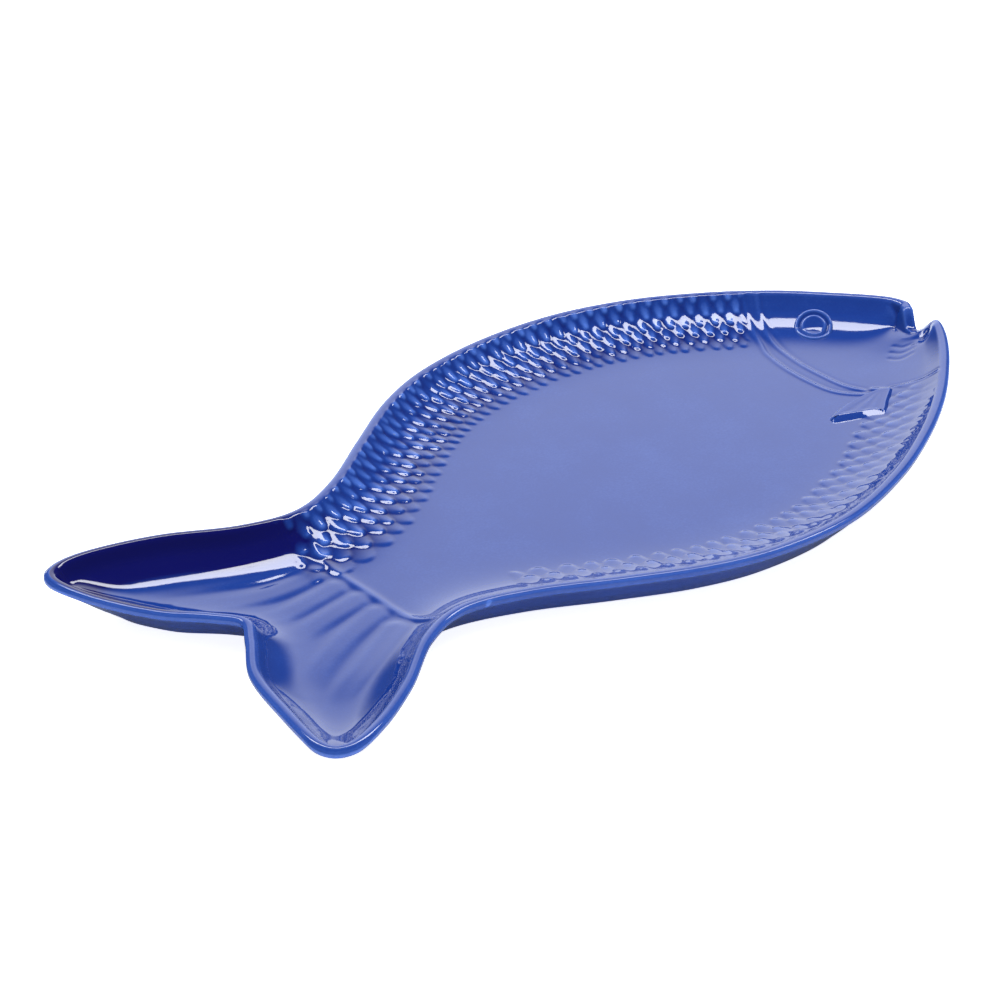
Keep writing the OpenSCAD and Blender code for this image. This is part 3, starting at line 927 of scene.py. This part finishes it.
    @staticmethod
    def _inside(points: np.ndarray, loop: np.ndarray) -> np.ndarray:
        """Which points lie inside a loop."""
        inside = np.zeros(len(points), dtype=bool)
        x, y = points[:, 0], points[:, 1]
        for a, b in zip(loop, np.roll(loop, -1, axis=0)):
            low, high = (a, b) if a[1] < b[1] else (b, a)
            hit = (y >= low[1]) & (y < high[1])
            if hit.any():
                at = low[0] + (y[hit] - low[1]) * (high[0] - low[0]) / (high[1] - low[1])
                inside[hit] ^= x[hit] < at
        return inside

    def _smooth(self, plan: np.ndarray, tris: np.ndarray, z: np.ndarray,
                share: np.ndarray) -> np.ndarray:
        """Takes the creases out of a height, as a glaze does, and keeps its slopes.

        Args:
            plan: plan points, one a row.
            tris: triangles over them.
            z: the height at each point.
            share: how much each point may move, from 0 to 1.

        Returns:
            The smoothed heights.
        """
        ends, others, weights = [], [], []
        for k in range(3):
            a, b, c = tris[:, k], tris[:, (k + 1) % 3], tris[:, (k + 2) % 3]
            u, v = plan[a] - plan[c], plan[b] - plan[c]
            area = np.abs(u[:, 0] * v[:, 1] - u[:, 1] * v[:, 0])
            cot = np.clip((u * v).sum(axis=1) / np.maximum(area, TINY), *self.weight_range)
            ends += [a, b]
            others += [b, a]
            weights += [cot, cot]
        ends, others = np.concatenate(ends), np.concatenate(others)
        weights = np.concatenate(weights)
        total = np.maximum(np.bincount(ends, weights, len(z)), TINY)
        for _ in range(self.rounds):
            mean = np.bincount(ends, weights * z[others], len(z)) / total
            z = z + (mean - z) * share * self.pull
        return z

    @staticmethod
    def _normals(verts: np.ndarray, tris: np.ndarray) -> np.ndarray:
        """A normal for each vertex, weighted by area."""
        a, b, c = verts[tris[:, 0]], verts[tris[:, 1]], verts[tris[:, 2]]
        face = np.cross(b - a, c - a)
        out = np.zeros_like(verts)
        for k in range(3):
            np.add.at(out, tris[:, k], face)
        return unit(out)


class Socket:
    """A shader socket with arithmetic."""

    def __init__(self, nodes: "Nodes", out: bpy.types.NodeSocket) -> None:
        """Wraps the output out of a node in nodes."""
        self.nodes = nodes
        self.out = out

    def _math(self, kind: str, first: "Socket | float", other: "Socket | float") -> "Socket":
        """A Math node over two values."""
        return self.nodes.node("ShaderNodeMath", 0, {"operation": kind}, first, other)

    def __add__(self, other: "Socket | float") -> "Socket":
        """self + other."""
        return self._math("ADD", self, other)

    def __sub__(self, other: "Socket | float") -> "Socket":
        """self - other."""
        return self._math("SUBTRACT", self, other)

    def __rsub__(self, other: float) -> "Socket":
        """other - self."""
        return self._math("SUBTRACT", other, self)

    def __mul__(self, other: "Socket | float") -> "Socket":
        """self * other."""
        return self._math("MULTIPLY", self, other)

    __radd__ = __add__
    __rmul__ = __mul__


class Nodes:
    """A node tree with short calls for the nodes it needs."""

    def __init__(self, tree: bpy.types.NodeTree) -> None:
        """Wraps a tree."""
        self.tree = tree

    def give(self, target: bpy.types.NodeSocket, value: "Socket | float | tuple") -> None:
        """Sets an input to a value, or links a socket to it."""
        if isinstance(value, Socket):
            self.tree.links.new(value.out, target)
        else:
            target.default_value = value

    def node(self, kind: str, out: str | int, settings: dict | None = None,
             *values: Socket | float | tuple, **named: Socket | float | tuple) -> Socket:
        """Makes a node.

        Args:
            kind: the node's type.
            out: the name or number of the wanted output.
            settings: properties of the node, and a ramp's stops.
            *values: values or sockets for its first inputs, in order.
            **named: values or sockets by input name, with _ for a space.

        Returns:
            The wanted output.
        """
        node = self.tree.nodes.new(kind)
        settings = dict(settings or {})
        stops = settings.pop("stops", ())
        for key, value in settings.items():
            setattr(node, key, value)
        # A new ramp has two stops already.
        for _ in stops[2:]:
            node.color_ramp.elements.new(0.5)
        for k, (place, colour) in enumerate(stops):
            node.color_ramp.elements[k].position = place
            node.color_ramp.elements[k].color = (*colour, 1)
        for target, value in zip(node.inputs, values):
            self.give(target, value)
        for key, value in named.items():
            self.give(node.inputs[key.replace("_", " ")], value)
        return Socket(self, node.outputs[out])

    def parts(self, vector: Socket) -> list[Socket]:
        """The x, y and z of a vector."""
        x = self.node("ShaderNodeSeparateXYZ", "X", None, vector)
        return [Socket(self, out) for out in x.out.node.outputs]

    def ray(self, kind: str) -> Socket:
        """1 for rays of one kind, such as Is Camera Ray, and 0 for the others."""
        return self.node("ShaderNodeLightPath", kind)

    def blend(self, share: Socket, first: Socket, second: Socket) -> Socket:
        """Two shaders mixed by share."""
        return self.node("ShaderNodeMixShader", 0, None, share, first, second)

    def fade(self, value: Socket, none: float, full: float) -> Socket:
        """A soft ramp of value, from 0 at none to 1 at full."""
        settings = {"interpolation_type": "SMOOTHSTEP"}
        return self.node("ShaderNodeMapRange", "Result", settings, value, none, full)

    def noise(self, place: Socket, scale: float, detail: float, roughness: float = 0.5) -> Socket:
        """A cloud of values around 0.5."""
        return self.node("ShaderNodeTexNoise", "Fac", Vector=place, Scale=scale, Detail=detail,
                         Roughness=roughness)


class Shader(Nodes):
    """One material's node tree around its main shader."""

    def __init__(self, name: str) -> None:
        """Makes the material of that name."""
        self.material = bpy.data.materials.new(name)
        self.material.use_nodes = True
        super().__init__(self.material.node_tree)
        self.bsdf = self.tree.nodes["Principled BSDF"]
        self.place = self.node("ShaderNodeTexCoord", "Object")

    def set(self, name: str, value: Socket | float | tuple) -> None:
        """Sets an input of the main shader to a value or a socket."""
        self.give(self.bsdf.inputs[name], value)

    def ramp(self, share: Socket, *stops: tuple) -> Socket:
        """A colour ramp over share, from (place, colour) stops."""
        return self.node("ShaderNodeValToRGB", "Color", {"stops": stops}, share)

    def bump(self, height: Socket, strength: float, distance: float) -> None:
        """Gives the main shader a bump of a height, whose full depth is distance in m."""
        self.set("Normal", self.node("ShaderNodeBump", "Normal", Height=height, Strength=strength,
                                     Distance=distance))


@dataclass(frozen=True)
class Glaze:
    """A cobalt glaze: darker where it pools, thinned and pale where it breaks over edges.

    Its colours also carry painted light: a painted sheen on the scales' domes, and painted
    shade on the tail's back wall.

    Args:
        deep_and_shade: colour in hollows, and of the painted shade on the tail's back wall.
        main: colour of the open surface.
        thin_and_sheen: colour over edges, and of the painted sheen on the scales' domes.
        stops: depths of glaze, from the pooled to the thinned, of those three colours.
        roughness: least roughness of the gloss.
        dulling: how much duller the clouds make it.
        edge_gain: how much an edge thins the glaze.
        cloud: how much the clouds do.
        speck: how much the specks do.
        pool_and_painted_light: how much pooling deepens it, and how strongly the painted shade and
            sheen show.
        ripple: share of the fine ripple in the gloss beside the broad one.
        ior: index of refraction.
        coat: weight of the clear coat.
        coat_roughness: roughness of the clear coat.
    """

    deep_and_shade: tuple[float, float, float] = (0.0004, 0.0012, 0.072)
    main: tuple[float, float, float] = (0.006, 0.030, 0.190)
    thin_and_sheen: tuple[float, float, float] = (0.050, 0.120, 0.430)
    stops: tuple[float, float, float] = (0.05, 0.5, 0.95)
    roughness: float = 0.045
    dulling: float = 0.03
    edge_gain: float = 5.0
    cloud: float = 0.14
    speck: float = 0.10
    pool_and_painted_light: float = 0.8
    ripple: float = 0.25
    ior: float = 1.52
    coat: float = 0.35
    coat_roughness: float = 0.03

    def material(self) -> bpy.types.Material:
        """The node-based material."""
        sh = Shader("cobalt_glaze")
        cloud = sh.noise(sh.place, scale=38.0, detail=4.0, roughness=0.55)
        speck = sh.noise(sh.place, scale=900.0, detail=2.0)
        breaks = (sh.node("ShaderNodeNewGeometry", "Pointiness") - 0.5) * self.edge_gain + 0.5
        # Glaze pooling, with painted shade on the tail's back wall and a painted sheen on the scales'
        # domes.
        depth = sh.node("ShaderNodeAttribute", "Fac", {"attribute_name": "glaze_pool_and_painted_light"})
        marks = (cloud - 0.5) * self.cloud + (speck - 0.5) * self.speck
        mixed = breaks + marks - depth * self.pool_and_painted_light
        sh.set("Base Color", sh.ramp(mixed, *zip(self.stops, (self.deep_and_shade, self.main, self.thin_and_sheen))))
        sh.set("Roughness", cloud * self.dulling + self.roughness)
        sh.set("IOR", self.ior)
        sh.set("Coat Weight", self.coat)
        sh.set("Coat Roughness", self.coat_roughness)
        fine = sh.noise(sh.place, scale=170.0, detail=1.0)
        broad = sh.noise(sh.place, scale=26.0, detail=1.0)
        sh.bump(fine * self.ripple + broad, strength=0.16, distance=0.0006)
        return sh.material


@dataclass(frozen=True)
class BareClay:
    """Unglazed pale stoneware with a fine grain.

    Args:
        light: colour of the pale grains.
        dark: colour of the dark grains.
        stops: grain values of the dark and the light colour.
        roughness: least roughness.
        grain: how much rougher the pale grains are.
    """

    light: tuple[float, float, float] = (0.66, 0.58, 0.48)
    dark: tuple[float, float, float] = (0.50, 0.42, 0.33)
    stops: tuple[float, float] = (0.35, 0.65)
    roughness: float = 0.72
    grain: float = 0.2

    def material(self) -> bpy.types.Material:
        """The node-based material."""
        sh = Shader("bare_clay")
        grain = sh.noise(sh.place, scale=700.0, detail=5.0)
        sh.set("Base Color", sh.ramp(grain, *zip(self.stops, (self.dark, self.light))))
        sh.set("Roughness", grain * self.grain + self.roughness)
        sh.bump(grain, strength=0.35, distance=0.0003)
        return sh.material


@dataclass(frozen=True)
class Eye:
    """The raised ring and the dished pupil, on a disc that is tilted towards the well.

    Args:
        size: sizes of the casting.
        ground: the surface that the eye stands on.
        tilt: tilt of the disc, in radians.
        rise: height of the disc over the ground at its middle.
        sunk: how far the eye's edges reach into the ground.
        ring_rows: (radius, height over the disc) of the ring's rows from outside in.
        pupil_rows: the same for the pupil.
        steps: points in one turn.
    """

    size: PlateSize
    ground: Ground
    tilt: float = math.radians(26)
    rise: float = 0.6
    sunk: float = 0.25
    ring_rows: tuple = (
        (9.3, 0.15), (9.1, 0.55), (8.75, 0.92), (8.3, 1.10), (7.85, 1.05), (7.45, 0.80),
        (7.15, 0.45), (6.85, 0.22), (6.55, 0.15), (6.3, 0.18),
    )
    pupil_rows: tuple = (
        (6.35, 0.10), (6.15, 0.45), (5.8, 0.85), (5.35, 1.08), (4.9, 1.10), (4.5, 1.03),
        (4.0, 0.93), (3.2, 0.77), (2.4, 0.61), (1.6, 0.46), (0.8, 0.33), (0.4, 0.30),
    )
    steps: int = 96

    def _turned(self, name: str, rows: tuple, closed: bool) -> bpy.types.Object:
        """A turned form over the disc.

        Args:
            name: the object's name.
            rows: (radius, height over the disc) pairs, from outside in.
            closed: whether the last row is filled to the middle.

        Returns:
            The object.
        """
        centre = np.array(EYE_SHARE) * self.size.half
        lip = self.ground.lip
        arc = np.array([lip.arc_of(EYE_LIP_POINT)])
        outward = -left_of(lip.chord(arc, self.size.lean_window))[0]
        level = self.ground.height(centre[None, :])[0] + self.rise
        turn = np.linspace(0, 2 * math.pi, self.steps, endpoint=False)
        circle = np.column_stack([np.cos(turn), np.sin(turn)])
        rings = []
        skirt = ((rows[0][0], None),)
        for radius, lift in skirt + rows + (((0.0, rows[-1][1]),) if closed else ()):
            plan = centre + circle * radius
            ground = self.ground.height(plan)
            disc = level + math.tan(self.tilt) * ((plan - centre) @ outward)
            z = ground - self.sunk if lift is None else np.maximum(disc, ground) + lift
            rings.append(np.column_stack([plan, z]))
        verts = np.concatenate(rings)
        tris = ring_strips(len(rings), self.steps)
        corners = verts[tris]
        area = np.cross(corners[:, 1] - corners[:, 0], corners[:, 2] - corners[:, 0])
        return Surface(verts, tris[np.linalg.norm(area, axis=1) > TINY]).mesh(name)

    def build(self) -> tuple[bpy.types.Object, bpy.types.Object]:
        """The ring and the pupil."""
        return (self._turned("eye_ring_glaze", self.ring_rows, False),
                self._turned("eye_pupil_glaze", self.pupil_rows, True))


@dataclass(frozen=True)
class Fin:
    """The raised pectoral fin, with faint ribs over its top.

    Args:
        size: sizes of the casting.
        ground: the surface that the fin stands on.
        height: height of the fin over the floor.
        lean: how much the fin's top leans with the ground under it, as a share.
        side_shares: rows up the side, each with how far outside the outline it is, as a
            share of the side's width, and how high, as a share of the height.
        top_shares: rows over the top, each with its share of the way from the edge to the
            middle, and its height as a share.
        near_side: direction that the long soft side faces.
        soft_from: how much a side faces that way (as a cosine) from which it gets wider,
            and where it is widest.
        narrow_side: width of the steep sides.
        wide_side: width of the soft side.
        rib_height: height of the ribs.
        ribs: how many ribs a full turn round the fin's root would have.
        rib_from: distances from the root where the ribs start and where they are full.
        rib_edge: share of the way to the middle over which they rise from the edge.
        outline_rounds: how often the outline's corners are rounded.
    """

    size: PlateSize
    ground: Ground
    height: float = 2.0
    lean: float = 0.7
    side_shares: tuple = (
        (0.55, -0.06), (0.52, 0.00), (0.46, 0.03), (0.38, 0.10), (0.25, 0.23), (0.10, 0.39),
        (-0.05, 0.55), (-0.20, 0.71), (-0.34, 0.86), (-0.42, 0.94), (-0.48, 0.985), (-0.53, 1.0),
    )
    top_shares: tuple = (
        (0.05, 1.0), (0.11, 0.99), (0.20, 0.97), (0.30, 0.96), (0.41, 0.96), (0.52, 0.96),
        (0.63, 0.96), (0.74, 0.96), (0.84, 0.96), (0.93, 0.96),
    )
    near_side: tuple[float, float] = (-0.556, -0.831)
    soft_from: tuple[float, float] = (0.55, 0.98)
    narrow_side: float = 2.2
    wide_side: float = 4.9
    rib_height: float = 0.07
    ribs: float = 30.0
    rib_from: tuple[float, float] = (5.0, 18.0)
    rib_edge: float = 0.25
    outline_rounds: int = 6

    def _top(self, plan: np.ndarray) -> np.ndarray:
        """Height of the fin's top, which leans less than the ground under it."""
        _, d = self.ground.lip.nearest(plan)
        plain = self.ground.plain(plan, d)
        return self.size.floor + self.height + (plain - self.size.floor) * self.lean

    def _outline(self) -> np.ndarray:
        """Plan points round the fin."""
        controls = np.array(FIN_SHARES)[::-1] * self.size.half
        u = np.linspace(0, len(controls), len(controls) * CURVE_STEPS, endpoint=False)
        outline = spline(controls, u, closed=True)
        for _ in range(self.outline_rounds):
            outline = (np.roll(outline, 1, axis=0) + outline * 2 + np.roll(outline, -1, axis=0)) / 4
        return outline

    def build(self) -> bpy.types.Object:
        """The fin as a rounded slab on the well's side."""
        outline = self._outline()
        ahead = np.roll(outline, -1, axis=0) - np.roll(outline, 1, axis=0)
        outward = -left_of(ahead)
        centre = outline.mean(axis=0)
        root = np.array(FIN_ROOT_SHARE) * self.size.half
        soft = smooth_step(outward @ np.array(self.near_side), *self.soft_from)
        width = (self.narrow_side + (self.wide_side - self.narrow_side) * soft)[:, None]
        level = self._top(outline)
        rings = []
        for offset, share in self.side_shares:
            plan = outline + outward * offset * width
            ground = self.ground.height(plan)
            rings.append(np.column_stack([plan, ground + (level - ground) * share]))
        edge = plan
        for share, keep in self.top_shares:
            plan = edge + (centre - edge) * share
            level = self._top(plan)
            away = plan - root
            angle = np.arctan2(away[:, 1], -away[:, 0])
            reach = smooth_step(np.linalg.norm(away, axis=1), *self.rib_from)
            reach = reach * min(share / self.rib_edge, 1)
            ribs = np.cos(angle * self.ribs) * self.rib_height * reach
            z = level - (1 - keep) * self.height + ribs
            rings.append(np.column_stack([plan, z]))
        n = len(outline)
        verts = np.concatenate(rings + [[[*centre, rings[-1][:, 2].mean()]]])
        last = (len(rings) - 1) * n + np.arange(n)
        middle = np.stack([last, np.roll(last, -1), np.full(n, len(verts) - 1)], axis=1)
        tris = np.concatenate([ring_strips(len(rings), n), middle])
        return Surface(verts, tris).mesh("pectoral_fin_glaze")


@dataclass(frozen=True)
class SoftLight:
    """One area light that faces the object.

    Args:
        name: the light's name.
        place: how far behind the object, to its right and up it is, in m.
        length: its length, in m.
        width: its width, in m.
        power: its power, in W.
        seen: whether the glaze reflects its shape.
    """

    name: str
    place: tuple[float, float, float]
    length: float
    width: float
    power: float
    seen: bool = False


@dataclass(frozen=True)
class Studio:
    """Camera, lights, floor and surroundings.

    Args:
        aim: the point that the camera looks at, in m.
        towards_camera: level direction from the object to the camera.
        distance: distance of the camera, in m.
        elevation: angle of the camera over the floor.
        lens: focal length, in mm.
        film: width of the picture in the camera, in mm.
        nearest: least distance that the camera sees, in m.
        lights: the soft lights.
        lights_aim: height of the point that they face, in m.
        steep: how straight down (as a cosine) a light counts as overhead.
        sky: colour and strength of the surroundings for light.
        glow_tint: colour of the backdrop in the glaze.
        glow_full: height (as a sine) up to which the backdrop glows fully.
        glow_top: height where its glow ends.
        glow_side: how far behind the object (as a sine) it starts.
        glow_back: how far behind it is full.
        glow_strength: how bright it is.
        dark_strength: how bright the surroundings are beside it.
        right_full: how far to the right (as a sine) it glows fully.
        right_dark: how far to the right it ends.
        left_full: how far to the left it glows fully, below 0.
        left_dark: how far to the left it ends, below 0.
        floor_half: half the floor's length, in m.
        floor_colour: colour of the floor.
        floor_roughness: its roughness.
        floor_glow: light that the floor gives the camera of itself.
        floor_bounce: light that it gives the object.
        floor_tint: colour of the floor in the glaze.
        floor_front: how bright the glaze shows the floor in front of the object.
        floor_back: the same behind it.
        floor_dark_to: how far behind the object's middle the front part reaches, in m.
        floor_bright_from: where the back part starts, in m.
    """

    aim: tuple[float, float, float] = (-0.0492, -0.00076, 0.021)
    towards_camera: tuple[float, float, float] = (-0.6997, -0.7145, 0.0)
    distance: float = 1.1397
    elevation: float = math.radians(30.45)
    lens: float = 97.2
    film: float = 36.0
    nearest: float = 0.01
    lights: tuple[SoftLight, ...] = (
        SoftLight("back_glow", (1.9, 0.0, 0.80), length=4.2, width=0.95, power=19.0),
        SoftLight("top_strip", (0.93, 0.0, 1.68), length=2.4, width=0.31, power=21.5, seen=True),
        SoftLight("top_soft", (-0.003, 0.2828, 2.4), length=2.4, width=2.4, power=60.0),
    )
    lights_aim: float = 0.01
    steep: float = 0.9
    sky: tuple = ((0.95, 0.96, 1.0), 0.8)
    glow_tint: tuple[float, float, float] = (0.90, 0.93, 1.0)
    glow_full: float = 0.52
    glow_top: float = 0.76
    glow_side: float = -0.1
    glow_back: float = 0.5
    glow_strength: float = 1.45
    dark_strength: float = 0.10
    right_full: float = 0.17
    right_dark: float = 0.36
    left_full: float = -0.28
    left_dark: float = -0.42
    floor_half: float = 6.0
    floor_colour: tuple[float, float, float] = (0.93, 0.93, 0.94)
    floor_roughness: float = 0.9
    floor_glow: float = 0.80
    floor_bounce: float = 1.0
    floor_tint: tuple[float, float, float] = (0.86, 0.92, 1.0)
    floor_front: float = 0.50
    floor_back: float = 0.9
    floor_dark_to: float = -0.02
    floor_bright_from: float = 0.14

    def build(self) -> None:
        """Makes everything that isn't the object."""
        self._camera()
        self._world()
        self._floor()
        for light in self.lights:
            self._light(light)

    def _camera(self) -> None:
        """The camera, where the photograph was taken from."""
        data = bpy.data.cameras.new("camera")
        data.lens = self.lens
        data.sensor_width = self.film
        data.sensor_fit = "HORIZONTAL"
        data.clip_start = self.nearest
        cam = bpy.data.objects.new("camera", data)
        aim = Vector(self.aim)
        level = Vector(self.towards_camera) * math.cos(self.elevation)
        cam.location = aim + (level + Vector((0, 0, math.sin(self.elevation)))) * self.distance
        cam.rotation_euler = (aim - cam.location).to_track_quat("-Z", "Y").to_euler()
        bpy.context.collection.objects.link(cam)
        bpy.context.scene.camera = cam

    def _behind(self, x: Socket, y: Socket) -> Socket:
        """How far behind the object x and y lie, as the camera sees it."""
        return x * -self.towards_camera[0] + y * -self.towards_camera[1]

    def _world(self) -> None:
        """White for the camera, a backdrop for the glaze and a plain level for light."""
        world = bpy.data.worlds.new("surroundings")
        bpy.context.scene.world = world
        world.use_nodes = True
        nodes = Nodes(world.node_tree)
        nodes.tree.nodes.clear()
        lit = self._even(nodes, *self.sky)
        reflected = nodes.blend(nodes.ray("Is Glossy Ray"), lit, self._glow(nodes))
        white = self._even(nodes, (1, 1, 1), 1.0)
        seen = nodes.blend(nodes.ray("Is Camera Ray"), reflected, white)
        out = nodes.tree.nodes.new("ShaderNodeOutputWorld")
        nodes.give(out.inputs["Surface"], seen)

    def _glow(self, nodes: Nodes) -> Socket:
        """What the glaze reflects: a lit backdrop behind the object that fades upwards."""
        x, y, z = nodes.parts(nodes.node("ShaderNodeTexCoord", "Generated"))
        aside = x * -self.towards_camera[1] + y * self.towards_camera[0]
        glow = nodes.fade(z, self.glow_top, self.glow_full)
        glow = glow * nodes.fade(self._behind(x, y), self.glow_side, self.glow_back)
        glow = glow * nodes.fade(aside, self.right_dark, self.right_full)
        glow = glow * nodes.fade(aside, self.left_dark, self.left_full)
        return self._even(nodes, self.glow_tint, glow * self.glow_strength + self.dark_strength)

    @staticmethod
    def _even(nodes: Nodes, colour: tuple, strength: float | Socket) -> Socket:
        """Surroundings of one colour."""
        return nodes.node("ShaderNodeBackground", 0, None, (*colour, 1), strength)

    def _floor(self) -> None:
        """The pale floor, whose look in the glaze is darker in front of the object."""
        mesh = bpy.data.meshes.new("floor")
        r = self.floor_half
        mesh.from_pydata([(-r, -r, 0), (r, -r, 0), (r, r, 0), (-r, r, 0)], [], [(0, 1, 2, 3)])
        floor = bpy.data.objects.new("floor", mesh)
        bpy.context.collection.objects.link(floor)
        sh = Shader("pale_floor")
        sh.set("Base Color", (*self.floor_colour, 1))
        sh.set("Roughness", self.floor_roughness)
        sh.set("Specular IOR Level", 0.0)
        sh.set("Emission Color", (1, 1, 1, 1))
        seen = sh.ray("Is Camera Ray") * self.floor_glow
        sh.set("Emission Strength", seen + sh.ray("Is Diffuse Ray") * self.floor_bounce)
        x, y, _ = sh.parts(sh.place)
        bright = sh.fade(self._behind(x, y), self.floor_dark_to, self.floor_bright_from)
        level = bright * (self.floor_back - self.floor_front) + self.floor_front
        tinted = sh.ramp(level, (0.0, (0, 0, 0)), (1.0, self.floor_tint))
        reflected = sh.node("ShaderNodeBsdfDiffuse", "BSDF", Color=tinted)
        lit = Socket(sh, sh.bsdf.outputs[0])
        out = sh.tree.nodes["Material Output"]
        sh.give(out.inputs["Surface"], sh.blend(sh.ray("Is Glossy Ray"), lit, reflected))
        floor.data.materials.append(sh.material)

    def _light(self, soft: SoftLight) -> None:
        """Makes one soft light."""
        data = bpy.data.lights.new(soft.name, "AREA")
        data.shape = "RECTANGLE"
        data.size, data.size_y = soft.length, soft.width
        data.energy = soft.power
        light = bpy.data.objects.new(soft.name, data)
        back = -Vector(self.towards_camera)
        right = Vector((back.y, -back.x, 0))
        behind, aside, up = soft.place
        light.location = back * behind + right * aside + Vector((0, 0, up))
        light.visible_glossy = soft.seen
        aim = Vector((0, 0, self.lights_aim)) - light.location
        light.rotation_euler = aim.to_track_quat("-Z", "Y").to_euler()
        if abs(aim.normalized().z) > self.steep:
            light.rotation_euler = (0, 0, math.atan2(right.y, right.x))
        bpy.context.collection.objects.link(light)


class Platter:
    """The whole object: cuts the skin into pieces and gives each its finish."""

    def __init__(self, frame: dict) -> None:
        """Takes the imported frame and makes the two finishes."""
        self.frame = frame
        self.size = PlateSize()
        self.glaze = Glaze().material()
        self.clay = BareClay().material()

    def build(self) -> None:
        """Makes every visible piece and seats it on the frame."""
        lip = LipLine(self.size)
        ground = Ground(self.size, ReliefSize(), lip)
        skin = Skin(self.size, lip, ground).build()
        self._dress(skin.mesh("platter_outside_glaze", OUTSIDE), Part.BODY.value)
        for index, part in enumerate(Part):
            self._dress(skin.mesh(part.value + "_glaze", index), part.value)
        ring, pupil = Eye(self.size, ground).build()
        self._dress(ring, "eye_ring")
        self._dress(pupil, "eye_pupil")
        self._dress(Fin(self.size, ground).build(), "pectoral_fin")
        for name in ("foot_ring", "tail_foot"):
            node = self.frame["nodes"][name]
            node.data.materials.clear()
            node.data.materials.append(self.clay)
            log.info("%s: kept, bare clay", name)

    def _dress(self, piece: bpy.types.Object, node: str) -> None:
        """Glazes a piece, seats it on the body and lets it stand for its node."""
        log.info("%s: %d triangles for %s", piece.name, len(piece.data.polygons), node)
        piece.data.materials.append(self.glaze)
        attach(piece, "root")
        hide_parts(node)


def main() -> None:
    """Builds the scene."""
    logging.basicConfig(level=logging.INFO)
    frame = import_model()
    scene = bpy.context.scene
    scene.view_settings.view_transform = "Standard"
    Studio().build()
    Platter(frame).build()
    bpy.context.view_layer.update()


if __name__ == "__main__":
    main()
